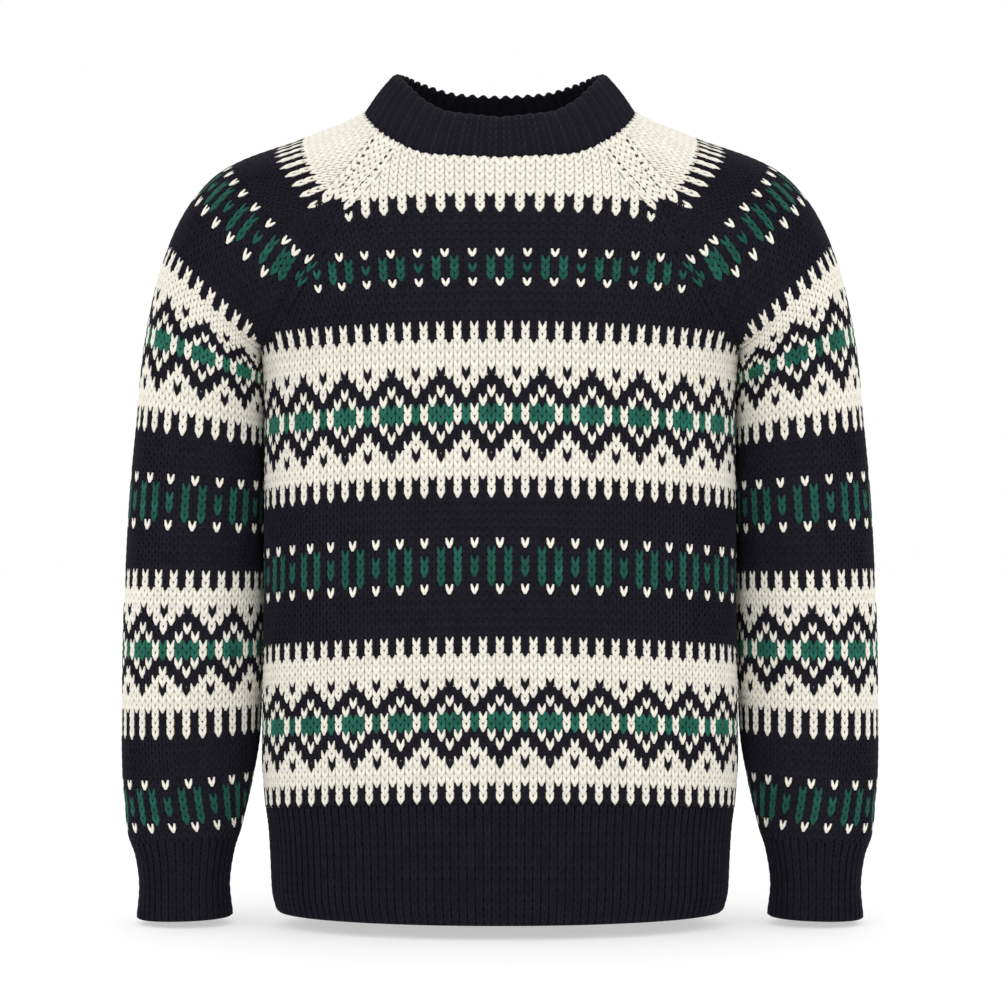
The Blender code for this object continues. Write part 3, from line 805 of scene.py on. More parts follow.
# Each hole beside a raglan seam is a narrow gap between two columns, which lies in shade: a pad
# with that shade painted on fills it.
EYELET_LEG = [
    (0.055,  0.15, -0.20, 0.060,    0.20,  0.9),
    (0.070,  0.45, -0.20, 0.130,    0.45,  0.9),
    (0.055,  0.75, -0.20, 0.060,    0.20,  0.9),
]
# Under the neckband the arms of neighbouring stitches end in one round arch.
ARCH_LEG = [LEG[0], LEG[1], (0.460, 0.97, -0.75, 0.160, 0.50, 0.5)]
FLAT_TOP = 0.55            # share of a leg's width, but for a light leg's sharp ridge
PATCH_EDGE = 0.06          # of a stitch's patch of the map, left free all round
# The yarns by chart letter: name, colour, its darkest and lightest shares, sheen and leg.
YARNS = {
    "N": ("navy", "navy", 0.75, 1.35, 0.04, LIGHT_LEG),
    "A": ("arch", "cream", 0.93, 1.05, 0.25, ARCH_LEG),
    "C": ("cream", "cream", 0.93, 1.05, 0.25, LEG),
    # E is the pad in each hole beside a seam: cream darkened almost to black, as painted shade
    "E": ("eyelet", "cream", 0.05, 0.09, 0.0, EYELET_LEG),
    "W": ("fleck", "cream", 1.0, 1.1, 0.3, FLECK_LEG),
    "G": ("green", "green", 0.65, 1.35, 0.08, LEG),
}


def leg_corners(across, out, half_width, ridge, back, flat):
    """Corners round one ring of a leg, four of them, or three where its top isn't flat."""
    base = [(across - half_width, out - back), (across + half_width, out - back)]
    top = [(across + half_width * flat, out + ridge), (across - half_width * flat, out + ridge)]
    return base + (top if flat else top[:1])


def inset(share):
    return PATCH_EDGE + (1.0 - 2.0 * PATCH_EDGE) * share


def stitch_mesh(name, leg, flat):
    """Two legs as closed tubes, with a small map of its own for each stitch."""
    mesh = bpy.data.meshes.new(name)
    shape = bmesh.new()
    layer = shape.loops.layers.uv.new("OFBake")
    last = len(leg) - 1

    def add_face(corners, spots, place):
        face = shape.faces.new(corners)
        for loop, (u, v) in zip(face.loops, spots):
            loop[layer].uv = (place + 0.5 * inset(u), inset(v))

    for side, place in ((-1.0, 0.0), (1.0, 0.5)):
        rings = [
            [shape.verts.new((side * x, up, z)) for x, z in leg_corners(across, *form, flat)]
            for across, up, *form in leg
        ]
        sides = len(rings[0])
        for r in range(last):
            for k in range(sides):
                quad = [(r, k), (r, k + 1), (r + 1, k + 1), (r + 1, k)]
                if side < 0.0:
                    quad.reverse()
                corners = [rings[a][b % sides] for a, b in quad]
                add_face(corners, [(b / sides, a / last) for a, b in quad], place)
        for r in (0, last):
            add_face(rings[r], [(0.5, r / last)] * sides, place)
    bmesh.ops.recalc_face_normals(shape, faces=shape.faces)
    bmesh.ops.triangulate(shape, faces=shape.faces)
    shape.to_mesh(mesh)
    shape.free()
    mesh.shade_smooth()
    return mesh


def new_tree(name, kind, inputs, outputs):
    """A node group with named sockets, each a name, a kind and at times a default."""
    tree = bpy.data.node_groups.new(name, kind)
    for in_out, sockets in (("INPUT", inputs), ("OUTPUT", outputs)):
        for label, socket_kind, *default in sockets:
            socket = tree.interface.new_socket(
                name=label, in_out=in_out, socket_type="NodeSocket" + socket_kind)
            if default:
                socket.default_value = default[0]
    return tree


def feed(node, inputs):
    """Sets a node's inputs to values or to the outputs of other nodes."""
    for key, value in inputs.items():
        if isinstance(value, bpy.types.NodeSocket):
            node.id_data.links.new(value, node.inputs[key])
        else:
            node.inputs[key].default_value = value


def put(tree, kind, inputs, **settings):
    """A new node with its settings and inputs, as its outputs."""
    node = tree.nodes.new(kind)
    for name, value in settings.items():
        setattr(node, name, value)
    feed(node, inputs)
    return node.outputs


def stitch_tree():
    """Geometry nodes that set a copy of one stitch in every cell of a piece."""
    tree = bpy.data.node_groups.get("knit_stitches")
    if tree:
        return tree
    tree = new_tree(
        "knit_stitches", "GeometryNodeTree",
        [("Cells", "Geometry"), ("Stitch", "Object"), ("Patches a Side", "Float", 1.0),
         ("Wool", "Material")],
        [("Stitches", "Geometry")])

    def own(name, kind):
        outputs = put(tree, "GeometryNodeInputNamedAttribute", {"Name": name}, data_type=kind)
        return outputs["Attribute"]

    given = put(tree, "NodeGroupInput", {})
    stitch = put(tree, "GeometryNodeObjectInfo", {"Object": given["Stitch"]})
    copies = put(tree, "GeometryNodeInstanceOnPoints", {
        "Points": given["Cells"], "Instance": stitch["Geometry"]})
    placed = put(tree, "GeometryNodeSetInstanceTransform", {
        "Instances": copies["Instances"], "Transform": own("cell", "FLOAT4X4")})
    last = put(tree, "GeometryNodeRealizeInstances", {"Geometry": placed["Instances"]})
    moved = put(tree, "ShaderNodeVectorMath", {
        0: own("OFBake", "FLOAT_VECTOR"), 1: own("patch", "FLOAT_VECTOR")})
    share = put(tree, "ShaderNodeMath", {0: 1.0, 1: given["Patches a Side"]}, operation="DIVIDE")
    shrunk = put(tree, "ShaderNodeVectorMath", {0: moved["Vector"], "Scale": share[0]},
                 operation="SCALE")
    last = put(tree, "GeometryNodeStoreNamedAttribute", {
        "Geometry": last["Geometry"], "Name": "OFBake", "Value": shrunk["Vector"]},
        data_type="FLOAT2", domain="CORNER")
    for name in ("cell", "patch"):
        last = put(tree, "GeometryNodeRemoveAttribute", {
            "Geometry": last["Geometry"], "Name": name})
    last = put(tree, "GeometryNodeSetMaterial", {
        "Geometry": last["Geometry"], "Material": given["Wool"]})
    put(tree, "NodeGroupOutput", {"Stitches": last["Geometry"]})
    return tree


def socket_identifier(tree, name):
    for item in tree.interface.items_tree:
        if item.item_type == "SOCKET" and item.in_out == "INPUT" and item.name == name:
            return item.identifier
    raise KeyError(name)


def link_piece(name, data):
    piece = bpy.data.objects.new(name, data)
    bpy.context.scene.collection.objects.link(piece)
    return piece


def add_piece(name, mesh):
    """A finished piece, which rides on the body."""
    piece = link_piece(name, mesh)
    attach(piece, BODY)
    return piece


def knit(name, letter, cells):
    """One piece of stitches, all of one yarn, as a plain mesh."""
    _, colour, *_, leg = YARNS[letter]
    origin, across, up, outward, tones = cells
    count = len(origin)
    side = int(np.ceil(np.sqrt(count)))
    matrices = np.zeros((count, 4, 4))
    for row, vectors in enumerate((across, up, outward)):
        matrices[:, row, :3] = vectors * MM
    matrices[:, 3, :3] = in_frame(origin)
    matrices[:, 3, 3] = 1.0
    patches = np.zeros((count, 3))
    patches[:, 0] = np.arange(count) % side
    patches[:, 1] = np.arange(count) // side
    mesh = bpy.data.meshes.new(name + "_cells")
    mesh.from_pydata(in_frame(origin).tolist(), [], [])
    for label, kind, field, values in (
            ("cell", "FLOAT4X4", "value", matrices),
            ("patch", "FLOAT_VECTOR", "vector", patches),
            ("tone", "FLOAT", "value", tones)):
        layer = mesh.attributes.new(label, kind, "POINT")
        layer.data.foreach_set(field, values.astype(np.float32).ravel())
    flat = 0.0 if leg is LIGHT_LEG else FLAT_TOP
    source = link_piece(name + "_stitch", stitch_mesh(name + "_stitch", leg, flat))
    piece = link_piece(name + "_cells", mesh)
    tree = stitch_tree()
    modifier = piece.modifiers.new("knit", "NODES")
    modifier.node_group = tree
    modifier[socket_identifier(tree, "Stitch")] = source
    modifier[socket_identifier(tree, "Patches a Side")] = float(side)
    modifier[socket_identifier(tree, "Wool")] = yarn_wool(letter)
    bpy.context.view_layer.update()
    ready = piece.evaluated_get(bpy.context.evaluated_depsgraph_get())
    mesh = bpy.data.meshes.new_from_object(ready)
    mesh.name = name
    for spare in (piece, source):
        bpy.data.objects.remove(spare, do_unlink=True)
    return add_piece(name, mesh)


# --- ground cloth ---
def wall_faces(rows, columns, first_open_row):
    """(row, corners) of each face of a wall from two grids, outer then inner, and its edges."""
    def corner(layer, row, column):
        return (layer * rows + row) * columns + column

    def rim(one, other):
        return [corner(0, *one), corner(1, *one), corner(1, *other), corner(0, *other)]

    faces = []
    for r in range(rows - 1):
        for c in range(columns - 1):
            quad = [(r, c), (r, c + 1), (r + 1, c + 1), (r + 1, c)]
            faces.append((r, [corner(0, *place) for place in quad]))
            faces.append((r, [corner(1, *place) for place in reversed(quad)]))
    for r in range(first_open_row, rows - 1):
        for c in (0, columns - 1):
            faces.append((r, rim((r, c), (r + 1, c))))
    for c in range(columns - 1):
        for r in (0, rows - 1):
            faces.append((min(r, rows - 2), rim((r, c), (r, c + 1))))
    return faces


def closed_mesh(name, points, faces, marks=None):
    """A mesh with its doubles merged and its faces pointing out, from millimetres."""
    mesh = bpy.data.meshes.new(name)
    mesh.from_pydata(in_frame(points).tolist(), [], faces)
    if marks is not None:
        mesh.attributes.new(ROW_MARK, "FLOAT", "FACE").data.foreach_set("value", marks)
    shape = bmesh.new()
    shape.from_mesh(mesh)
    bmesh.ops.remove_doubles(shape, verts=shape.verts, dist=MERGE_DISTANCE * MM)
    bmesh.ops.recalc_face_normals(shape, faces=shape.faces)
    shape.to_mesh(mesh)
    shape.free()
    mesh.shade_smooth()
    return mesh


# --- wool ---
def fibre_group():
    """Fine wool fibres: a height for bumps and a tone that lightens or darkens the yarn."""
    tree = bpy.data.node_groups.get("wool_fibres")
    if tree:
        return tree
    tree = new_tree(
        "wool_fibres", "ShaderNodeTree",
        [("Vector", "Vector"), ("Fibre Scale", "Float", 2200.0), ("Cloud Scale", "Float", 60.0)],
        [("Height", "Float"), ("Tone", "Float")])
    given = put(tree, "NodeGroupInput", {})
    fine = put(tree, "ShaderNodeTexNoise", {
        "Vector": given["Vector"], "Scale": given["Fibre Scale"], "Detail": 3.0,
        "Roughness": 0.65, "Distortion": 1.2})
    cloud = put(tree, "ShaderNodeTexNoise", {
        "Vector": given["Vector"], "Scale": given["Cloud Scale"], "Detail": 2.0})
    half = put(tree, "ShaderNodeMath", {0: cloud["Fac"], 1: 0.5}, operation="MULTIPLY")
    tone = put(tree, "ShaderNodeMath", {0: fine["Fac"], 1: 0.5, 2: half[0]},
               operation="MULTIPLY_ADD")
    put(tree, "NodeGroupOutput", {"Height": fine["Fac"], "Tone": tone[0]})
    return tree


TONE_STRENGTH = 0.12       # of a stitch's own tone beside its fibres'
TONE_RANGE = (0.25, 0.75)  # of the tones that run from the dark to the light colour
FIBRE_HEIGHT = 0.0006      # metres


def wool(name, dark, light, sheen=0.0, bump=0.25, roughness=0.92, specular=0.12, mark=None):
    """A wool from dark to light by its fibres and each stitch's tone, or by a mark alone."""
    material = bpy.data.materials.get(name)
    if material:
        return material
    material = bpy.data.materials.new(name)
    material.use_nodes = True
    tree = material.node_tree
    place = put(tree, "ShaderNodeTexCoord", {})
    fibres = put(tree, "ShaderNodeGroup", {"Vector": place["Object"]}, node_tree=fibre_group())
    share = put(tree, "ShaderNodeAttribute", {}, attribute_name=mark or "tone")["Fac"]
    if not mark:
        tone = put(tree, "ShaderNodeMath", {0: share, 1: TONE_STRENGTH, 2: fibres["Tone"]},
                   operation="MULTIPLY_ADD")
        low, high = TONE_RANGE
        share = put(tree, "ShaderNodeMapRange", {
            "Value": tone[0], "From Min": low, "From Max": high})["Result"]
    colour = put(tree, "ShaderNodeMix", {"Factor": share, "A": dark, "B": light},
                 data_type="RGBA", clamp_factor=True)
    bumps = put(tree, "ShaderNodeBump", {
        "Strength": bump, "Distance": FIBRE_HEIGHT, "Height": fibres["Height"]})
    feed(tree.nodes["Principled BSDF"], {
        "Base Color": colour["Result"], "Normal": bumps["Normal"], "Roughness": roughness,
        "Specular IOR Level": specular, "Sheen Weight": sheen, "Sheen Roughness": 0.45})
    return material


def yarn_wool(letter):
    name, colour, dark, light, sheen, _ = YARNS[letter]
    return wool(name + "_yarn", shaded(colour, dark), shaded(colour, light), sheen)


def shaded(colour, share):
    """One of the yarns' colours, darker or lighter."""
    channels = getattr(bpy.context.scene.jumper_colours, colour)
    return (*(min(1.0, channel * share) for channel in channels), 1.0)


# --- knitted panels ---
CLOTHS = {}


def cloths():
    if not CLOTHS:
        CLOTHS.update(make_cloths())
    return CLOTHS


def panel_rows(piece):
    if piece == "sleeve":
        return knit_rows(cloths()["sleeve"], SLEEVE_BANDS, CUFF_SEAM)
    column = 1 if piece == "front" else 2
    bands = [(band[0], band[column], *band[3:]) for band in BODY_BANDS]
    return knit_rows(cloths()[piece], bands, HEM_SEAM)


def knit_panel(node, piece, mirror):
    """Stitches of every yarn over a ground cloth, in place of one node."""
    cloth = cloths()[piece]
    rows = panel_rows(piece)
    found = knit_cells(cloth, rows, np.random.default_rng(STITCH_SEED + len(node)))
    for letter, (yarn, *_) in YARNS.items():
        cells = mirror_cells(found[letter]) if mirror else found[letter]
        knit(f"{node}_{yarn}_stitches", letter, cells)
    ground = ground_piece(node, cloth, rows, mirror)
    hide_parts(node)


def ground_lines(cloth, rows):
    """Lines of the ground cloth's rows, with one at the underarm of a sleeve."""
    lines = [rows[0][0]] + [high for _, high, _, _ in rows]
    if cloth.closed and not any(line[0] == 0.0 for line in lines):
        lines.append((0.0, 0.0))
    lines.sort()
    low, high = lines[0], lines[-1]
    nudge_low = SEAM_GAP / (cloth.height(low[0] + 1.0) - cloth.height(low[0]))
    nudge_high = SEAM_GAP / (cloth.height(high[0]) - cloth.height(high[0] - 1.0))
    lines[0] = (low[0] + nudge_low, low[1] + nudge_low)
    lines[-1] = (high[0] - nudge_high, high[1] - nudge_high)
    return lines


def ground_piece(node, cloth, rows, mirror):
    """The plain cloth behind the stitches, marked row by row as cream or dark, its colours
    darkened as painted shade.
    """
    lines = ground_lines(cloth, rows)
    marks = []
    for low, high in zip(lines[:-1], lines[1:]):
        middle = (low[0] + high[0]) / 2.0
        chart = next(chart for low, high, chart, _ in rows if low[0] <= middle <= high[0])
        marks.append(chart.count("C") > len(chart) / 2)
    steps = np.linspace(-1.0, 1.0, GROUND_COLUMNS + 1)
    layers = []
    for depth in (GROUND_DEPTH, WALL):
        for line in lines:
            shut = cloth.closed and line[0] <= 0.0
            across = steps * (1.0 if shut else 1.0 - CLOSE_GAP / cloth.half_length(line[1]))
            layers.append(cloth.at(row_stations(line, steps), across, depth))
    points = np.concatenate(layers)
    if mirror:
        points = mirrored(points)
    first_open = [line[0] for line in lines].index(0.0) if cloth.closed else 0
    face_rows, faces = zip(*wall_faces(len(lines), len(steps), first_open))
    marks = np.array(marks, np.float32)[list(face_rows)]
    mesh = closed_mesh(node + "_ground", points, faces, marks)
    # the cloth's own navy and cream, darkened as painted shade for the gaps between stitches
    mesh.materials.append(wool(
        "ground_cloth", shaded("navy", 0.6), shaded("cream", 0.85),
        bump=0.3, roughness=0.95, specular=0.2, mark=ROW_MARK))
    return add_piece(node + "_ground", mesh)


# --- ribbed bands ---
BAND_RINGS = 9             # from a straight band's seam to its edge
CREST_DEPTH = 0.9          # of the ribs' crests below the outer surface, under their stitches
TUCKED_DEPTH = 1.8         # of a straight band's first ring, at the seam
NECK_TUCKED_DEPTH = 1.6
# The rolled edge of a straight band: depth below the outer surface, how much of the ribs' depth
# it keeps, and rise above the edge.
EDGE_ROLL = [
    (0.9, 1.0, 2.0),
    (1.3, 0.8, 0.5),
    (2.0, 0.0, 0.0),
    (3.5, 0.0, 0.5),
    (4.0, 0.0, 2.0),
]


def rib_depths(count):
    """How far each point round a band sinks, 0 on a crest to 1 in a valley."""
    turn = np.arange(count * RIB_POINTS) / RIB_POINTS * 2.0 * np.pi
    return (0.5 + 0.5 * np.cos(turn)) ** RIB_SHARPNESS


def tube_faces(rings, points):
    """Faces of a closed tube whose profile runs through the rings and back to the first."""
    faces = []
    for r in range(rings):
        below = r * points
        above = ((r + 1) % rings) * points
        for k in range(points):
            following = (k + 1) % points
            faces.append([below + k, below + following, above + following, above + k])
    return faces


def ring_outward(ring):
    """Outward directions of a closed ring of points, within its own plane."""
    centre = ring.mean(axis=0)
    ahead = np.roll(ring, -1, axis=0)
    axis = unit(np.cross(ring - centre, ahead - centre).sum(axis=0))
    return unit(np.cross(ahead - np.roll(ring, 1, axis=0), axis))


def hem_ring(station, count):
    half = np.linspace(-1.0, 1.0, count // 2 + 1)
    there = body_row(FRONT, station, half)[:-1]
    around = body_row(BACK, station, half)[:0:-1]
    return np.concatenate([there, around])


def cuff_ring(station, count):
    return sleeve_section(station, np.linspace(-1.0, 1.0, count + 1)[:-1])


def finish_band(node, rings, cells, mirror=False):
    """A band's ribs and the stitches on their crests, in place of one node."""
    points = np.concatenate(rings)
    if mirror:
        points, cells = mirrored(points), mirror_cells(cells)
    name = node + "_ribs"
    mesh = closed_mesh(name, points, tube_faces(len(rings), len(rings[0])))
    mesh.materials.append(wool(
        "rib_yarn", shaded("navy", 0.5), shaded("navy", 0.9), sheen=0.04, bump=0.35))
    band = add_piece(name, mesh)
    stitches = knit(node + "_stitches", "N", cells)
    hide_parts(node)


def straight_band(node, ring_at, ribs, seam, edge, mirror=False):
    """A hem or cuff: a ribbed tube with a rolled edge and a column of stitches on each rib."""
    count = ribs * RIB_POINTS
    rib_depth = bpy.context.scene.jumper_sizes.rib_depth / MM
    sink = rib_depths(ribs)[:, None] * rib_depth
    *stations, last = np.linspace(seam, edge, BAND_RINGS)
    outer, inner = [], []
    for station in stations:
        ring = ring_at(station, count)
        outward = ring_outward(ring)
        depth = CREST_DEPTH if outer else TUCKED_DEPTH
        outer.append(ring - outward * (depth + sink))
        inner.insert(0, ring - outward * BAND_WALL)
    ring = ring_at(last, count)
    down = unit(ring - ring_at(stations[-1], count))
    outward = ring_outward(ring)
    rolled = [
        ring - outward * (depth + share * sink) - down * rise for depth, share, rise in EDGE_ROLL
    ]
    cells = rib_cells(ring_at, ribs, seam, edge)
    finish_band(node, outer + rolled + inner, cells, mirror)


RIB_ROW = 6.4              # height of a stitch on a rib
RIB_START = 0.04           # share of a straight band that is rolled under its first stitches
CREST_STEPS = 41
CRESTS = slice(RIB_POINTS // 2, None, RIB_POINTS)
CREST_FILL = 0.82          # share of a rib's width that its stitches fill
CREST_SINK = 0.35          # they lie lower than the pattern's stitches


def crest_cells(points, outs, shares, fill, sink, wide_at, seed):
    """A cell for every stitch on a band's crests, between shares of the crests' length.

    Each stitch is as wide as it has room at wide_at, 0 for its low end to 1 for its high one.
    """
    rng = np.random.default_rng(seed)
    widths = (np.roll(points, -1, axis=1) - np.roll(points, 1, axis=1)) / 2.0
    parts = []
    for low, high in zip(shares[:-1], shares[1:]):
        origin = sample_rows(points, low)
        up = sample_rows(points, high) - origin
        across = sample_rows(widths, low + (high - low) * wide_at) * fill
        cells = framed(origin, across, up, sample_rows(outs, low), -sink)
        parts.append((*cells, rng.normal(0.0, STITCH_TONE, len(origin))))
    return joined(parts)


def rib_cells(ring_at, ribs, seam, edge):
    """Cells of a hem or cuff."""
    rings = [ring_at(s, ribs * RIB_POINTS) for s in np.linspace(edge, seam, CREST_STEPS)]
    crests = np.array([ring[CRESTS] for ring in rings])
    outs = np.array([ring_outward(ring)[CRESTS] for ring in rings])
    rows = int(round((lengths(crests[:, 0])[-1] - BAND_WALL / 2.0) / RIB_ROW))
    shares = RIB_START + (1.0 - RIB_START) * np.arange(rows + 1) / rows
    return crest_cells(crests, outs, shares, CREST_FILL, CREST_SINK, 0.5, STITCH_SEED)


def sample_rows(grid, share):
    """A row between the rows of a grid, at a share 0 to 1 of its height."""
    at = np.clip(share, 0.0, 1.0) * (len(grid) - 1)
    low = min(int(at), len(grid) - 2)
    return grid[low] + (grid[low + 1] - grid[low]) * (at - low)


# The neckband's profile from the seam up its outer side, over the fold and down inside.
#    rise  turn of the fold  depth behind the outer side
NECK_PROFILE = [
    (0.00, 0.0, 0.0), (0.12, 0.0, 0.0), (0.25, 0.0, 0.0), (0.38, 0.0, 0.0), (0.52, 0.0, 0.0),
    (0.66, 0.0, 0.0), (0.80, 0.0, 0.0), (0.92, 0.0, 0.0), (0.92, 30.0, 0.5), (0.92, 60.0, 1.9),
    (0.92, 90.0, 3.8), (0.92, 120.0, 5.7), (0.92, 150.0, 7.1), (0.92, 180.0, 7.6),
    (0.78, 180.0, 7.4), (0.60, 180.0, 6.4), (0.40, 180.0, 5.4), (0.20, 180.0, 5.0),
    (0.00, 180.0, 5.0),
]
FOLD_RISE = 0.115          # how much the fold adds to the rise at its top
NECK_SHOWN = 8             # places of the profile that its stitches climb, up to the fold
NECK_CREST_FILL = 0.56
NECK_CREST_SINK = 0.6
NECK_BACK_LIFT = 2.8       # how much higher the fold stands at the back
FRONT_SCALLOP = 0.5        # its ribs are pressed flat at the front and stand out at the back
BACK_SCALLOP = 1.7
BACK_POWER = 1.5           # how late round the neck its back begins
RISE_STEP = 0.01           # for the neckband's direction upwards


def back_share(turns):
    """0 at the front of the neck, 1 at its back."""
    return (0.5 - 0.5 * np.cos(np.radians(turns))) ** BACK_POWER


def neck_profile(turns, rise, fold, depth):
    """Points of the neckband at one place of its profile, with the cloth's direction there."""
    angle = np.radians(fold)
    rise = rise + FOLD_RISE * np.sin(angle)
    outward = neck_outward(turns, rise)
    up = unit(neck_ring(turns, rise + RISE_STEP) - neck_ring(turns, rise))
    points = neck_ring(turns, rise) - outward * depth
    points[:, 2] += NECK_BACK_LIFT * back_share(turns) * rise ** 2
    return points, unit(outward * np.cos(angle) + up * np.sin(angle))


def neck_cells():
    """Cells of the neckband's outer side, up to the fold."""
    turns = (np.arange(NECK_RIBS) + 0.5) * 360.0 / NECK_RIBS
    lines = [neck_profile(turns, *place) for place in NECK_PROFILE[:NECK_SHOWN]]
    points, outs = [np.array(group) for group in zip(*lines)]
    along = running(np.linalg.norm(np.diff(points, axis=0), axis=2).mean(axis=1))
    marks = np.linspace(0.0, along[-1], int(round(along[-1] / RIB_ROW)) + 1)
    shares = np.interp(marks, along, np.linspace(0.0, 1.0, len(along)))
    return crest_cells(
        points, outs, shares, NECK_CREST_FILL, NECK_CREST_SINK, 0.0, STITCH_SEED + 1)


def neck_rings():
    """The neckband's rings, from its seam over the fold and down inside."""
    rib_depth = bpy.context.scene.jumper_sizes.rib_depth / MM
    turns = np.arange(NECK_RIBS * RIB_POINTS) * 360.0 / (NECK_RIBS * RIB_POINTS)
    scallop = FRONT_SCALLOP + (BACK_SCALLOP - FRONT_SCALLOP) * back_share(turns)
    sink = (rib_depths(NECK_RIBS) * scallop)[:, None] * rib_depth
    rings = []
    for place in NECK_PROFILE:
        points, outward = neck_profile(turns, *place)
        at_seam = place[0] == 0.0
        rings.append(points - outward * (NECK_TUCKED_DEPTH if at_seam else CREST_DEPTH + sink))
    return rings


# --- settings ---
class JumperSizes(bpy.types.PropertyGroup):
    """Sizes that change how the knitting looks."""
    rib_depth: bpy.props.FloatProperty(
        name="Rib Depth", description="How deep the valleys between ribs are",
        default=0.0018, min=0.0, max=0.004, unit="LENGTH")
    view_width: bpy.props.FloatProperty(
        name="View Width", description="Width that the camera sees at the jumper's middle",
        default=0.8165, min=0.3, max=3.0, unit="LENGTH")
    view_distance: bpy.props.FloatProperty(
        name="View Distance", description="How far the camera stands in front of the jumper",
        default=2.5, min=0.5, max=10.0, unit="LENGTH")


class JumperColours(bpy.types.PropertyGroup):
    """The three yarns."""
    cream: bpy.props.FloatVectorProperty(
        name="Cream", description="Undyed wool", subtype="COLOR", size=3,
        default=(0.84, 0.81, 0.715), min=0.0, max=1.0)
    navy: bpy.props.FloatVectorProperty(
        name="Navy", description="Dark wool of the ribs and plain rows", subtype="COLOR", size=3,
        default=(0.0090, 0.0081, 0.0148), min=0.0, max=1.0)
    green: bpy.props.FloatVectorProperty(
        name="Green", description="Wool of the small bands and the diamonds' hearts",
        subtype="COLOR", size=3, default=(0.0158, 0.122, 0.084), min=0.0, max=1.0)


# --- operators ---
class JUMPER_OT_front(bpy.types.Operator):
    """Knit the front: its ground cloth and its stitches in three yarns"""
    bl_idname = "jumper.front"
    bl_label = "Knit Front"

    def execute(self, context):
        knit_panel("front", "front", False)
        return {"FINISHED"}


class JUMPER_OT_back(bpy.types.Operator):
    """Knit the back: its ground cloth and its stitches in three yarns"""
    bl_idname = "jumper.back"
    bl_label = "Knit Back"

    def execute(self, context):
        knit_panel("back", "back", False)
        return {"FINISHED"}


class JUMPER_OT_sleeves(bpy.types.Operator):
    """Knit both sleeves, the left as the mirror of the right"""
    bl_idname = "jumper.sleeves"
    bl_label = "Knit Sleeves"

    def execute(self, context):
        knit_panel("sleeve_right", "sleeve", False)
        knit_panel("sleeve_left", "sleeve", True)
        return {"FINISHED"}


class JUMPER_OT_neckband(bpy.types.Operator):
    """Knit the folded neckband with its ribs"""
    bl_idname = "jumper.neckband"
    bl_label = "Knit Neckband"

    def execute(self, context):
        finish_band("neckband", neck_rings(), neck_cells())
        return {"FINISHED"}


class JUMPER_OT_hem_band(bpy.types.Operator):
    """Knit the ribbed hem band"""
    bl_idname = "jumper.hem_band"
    bl_label = "Knit Hem Band"

    def execute(self, context):
        straight_band("hem_band", hem_ring, HEM_RIBS, HEM_SEAM, HEM_EDGE)
        return {"FINISHED"}


class JUMPER_OT_cuffs(bpy.types.Operator):
    """Knit both ribbed cuffs, the left as the mirror of the right"""
    bl_idname = "jumper.cuffs"
    bl_label = "Knit Cuffs"

    def execute(self, context):
        for node, mirror in (("cuff_right", False), ("cuff_left", True)):
            straight_band(node, cuff_ring, CUFF_RIBS, CUFF_SEAM, CUFF_EDGE, mirror)
        return {"FINISHED"}


class JUMPER_OT_stage(bpy.types.Operator):
    """Set up the pale floor, the soft studio light and the camera"""
    bl_idname = "jumper.stage"
    bl_label = "Set Up Stage"

    def execute(self, context):
        add_floor()
        add_lights()
        add_camera(context.scene.jumper_sizes)
        return {"FINISHED"}


# --- stage ---
FLOOR_HEIGHT = -0.6600     # metres, just under the cuffs
FLOOR_HALF = 12.0
FLOOR_GREY = 0.55
FLOOR_GLOW = 0.5
WHITE = (1.0, 1.0, 1.0, 1.0)
LIGHT_AIM = (0.0, 0.0, -0.3)
# Lights: place, width and watts.
LIGHTS = {
    "key": ((-1.3, -2.6, 1.3), 1.8, 13.0),
    "fill": ((1.8, -2.4, 0.6), 1.6, 7.0),
    "top": ((0.0, 0.2, 2.4), 2.4, 4.0),
}
VIEW_HEIGHT = -0.3202
VIEW_X = 0.0032
SENSOR = 36.0
VIEW_END = 100.0


def add_floor():
    mesh = bpy.data.meshes.new("floor")
    corners = [(-FLOOR_HALF, -FLOOR_HALF), (FLOOR_HALF, -FLOOR_HALF),
               (FLOOR_HALF, FLOOR_HALF), (-FLOOR_HALF, FLOOR_HALF)]
    mesh.from_pydata([(x, y, FLOOR_HEIGHT) for x, y in corners], [], [(0, 1, 2, 3)])
    material = bpy.data.materials.new("pale_floor")
    material.use_nodes = True
    feed(material.node_tree.nodes["Principled BSDF"], {
        "Base Color": (FLOOR_GREY, FLOOR_GREY, FLOOR_GREY, 1.0), "Roughness": 0.9,
        "Emission Color": WHITE, "Emission Strength": FLOOR_GLOW})
    mesh.materials.append(material)
    link_piece("floor", mesh)


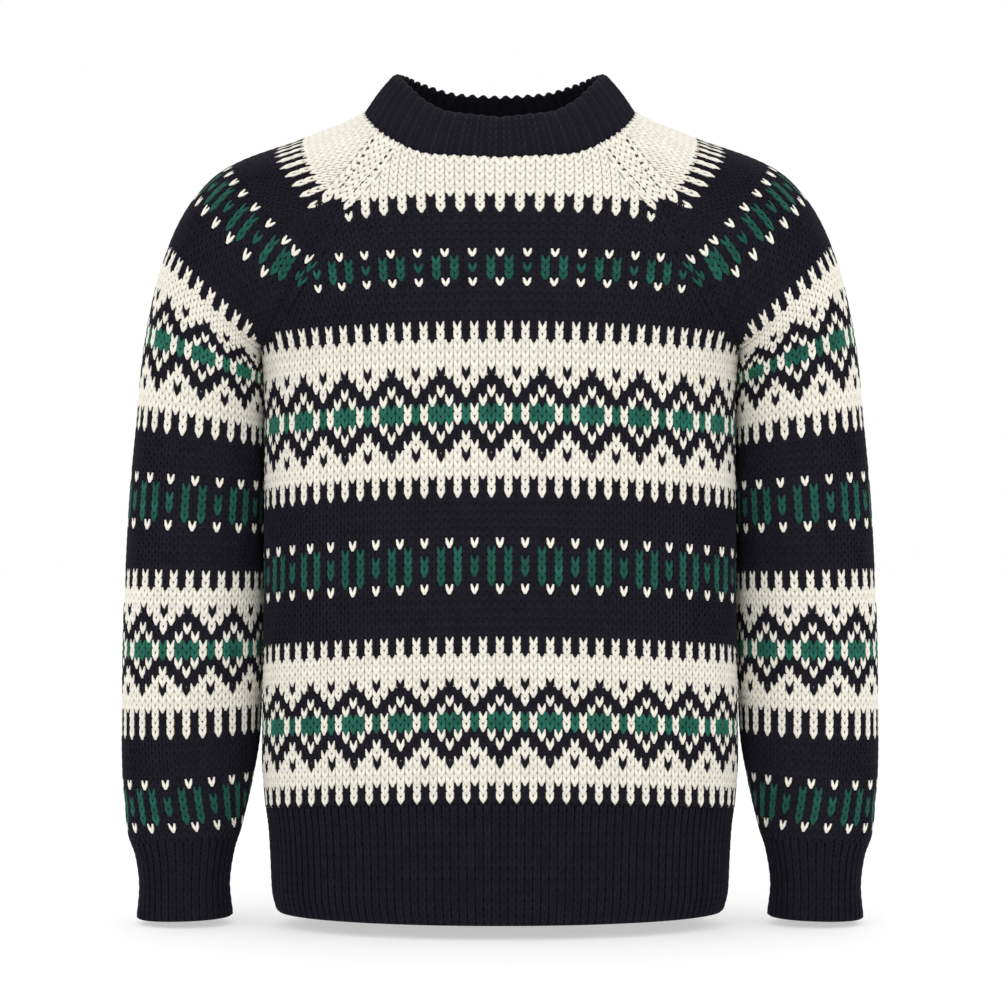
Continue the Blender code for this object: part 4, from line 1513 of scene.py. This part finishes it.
def add_lights():
    for name, (place, width, watts) in LIGHTS.items():
        light = bpy.data.lights.new(name, "AREA")
        light.shape = "RECTANGLE"
        light.size = light.size_y = width
        light.energy = watts
        lamp = link_piece(name, light)
        lamp.location = place
        direction = Vector(np.array(LIGHT_AIM) - np.array(place))
        lamp.rotation_euler = direction.to_track_quat("-Z", "Y").to_euler()
    world = bpy.data.worlds.new("studio")
    bpy.context.scene.world = world
    world.use_nodes = True
    feed(world.node_tree.nodes["Background"], {"Color": WHITE, "Strength": 1.0})
    bpy.context.scene.view_settings.view_transform = "Standard"


def add_camera(sizes):
    camera = bpy.data.cameras.new("camera")
    camera.sensor_width = SENSOR
    camera.lens = SENSOR * sizes.view_distance / sizes.view_width
    camera.clip_end = VIEW_END
    eye = link_piece("camera", camera)
    eye.location = (VIEW_X, -sizes.view_distance, VIEW_HEIGHT)
    eye.rotation_euler = (np.radians(90.0), 0.0, 0.0)
    bpy.context.scene.camera = eye


# --- add-on ---
OPERATORS = (
    JUMPER_OT_front,
    JUMPER_OT_back,
    JUMPER_OT_sleeves,
    JUMPER_OT_neckband,
    JUMPER_OT_hem_band,
    JUMPER_OT_cuffs,
    JUMPER_OT_stage,
)


class JUMPER_PT_sidebar(bpy.types.Panel):
    """Sizes, colours and the pieces of the jumper"""
    bl_label = "Fair Isle Jumper"
    bl_idname = "JUMPER_PT_sidebar"
    bl_space_type = "VIEW_3D"
    bl_region_type = "UI"
    bl_category = "Jumper"

    def draw(self, context):
        layout = self.layout
        for settings in (context.scene.jumper_sizes, context.scene.jumper_colours):
            for name in settings.__annotations__:
                layout.prop(settings, name)
        for operator in OPERATORS:
            layout.operator(operator.bl_idname)


CLASSES = (JumperSizes, JumperColours, *OPERATORS, JUMPER_PT_sidebar)


def register():
    for each in CLASSES:
        bpy.utils.register_class(each)
    bpy.types.Scene.jumper_sizes = bpy.props.PointerProperty(type=JumperSizes)
    bpy.types.Scene.jumper_colours = bpy.props.PointerProperty(type=JumperColours)


def unregister():
    del bpy.types.Scene.jumper_colours
    del bpy.types.Scene.jumper_sizes
    for each in reversed(CLASSES):
        bpy.utils.unregister_class(each)


def main():
    register()
    bpy.ops.jumper.front()
    bpy.ops.jumper.back()
    bpy.ops.jumper.sleeves()
    bpy.ops.jumper.neckband()
    bpy.ops.jumper.hem_band()
    bpy.ops.jumper.cuffs()
    bpy.ops.jumper.stage()


if __name__ == "__main__":
    main()
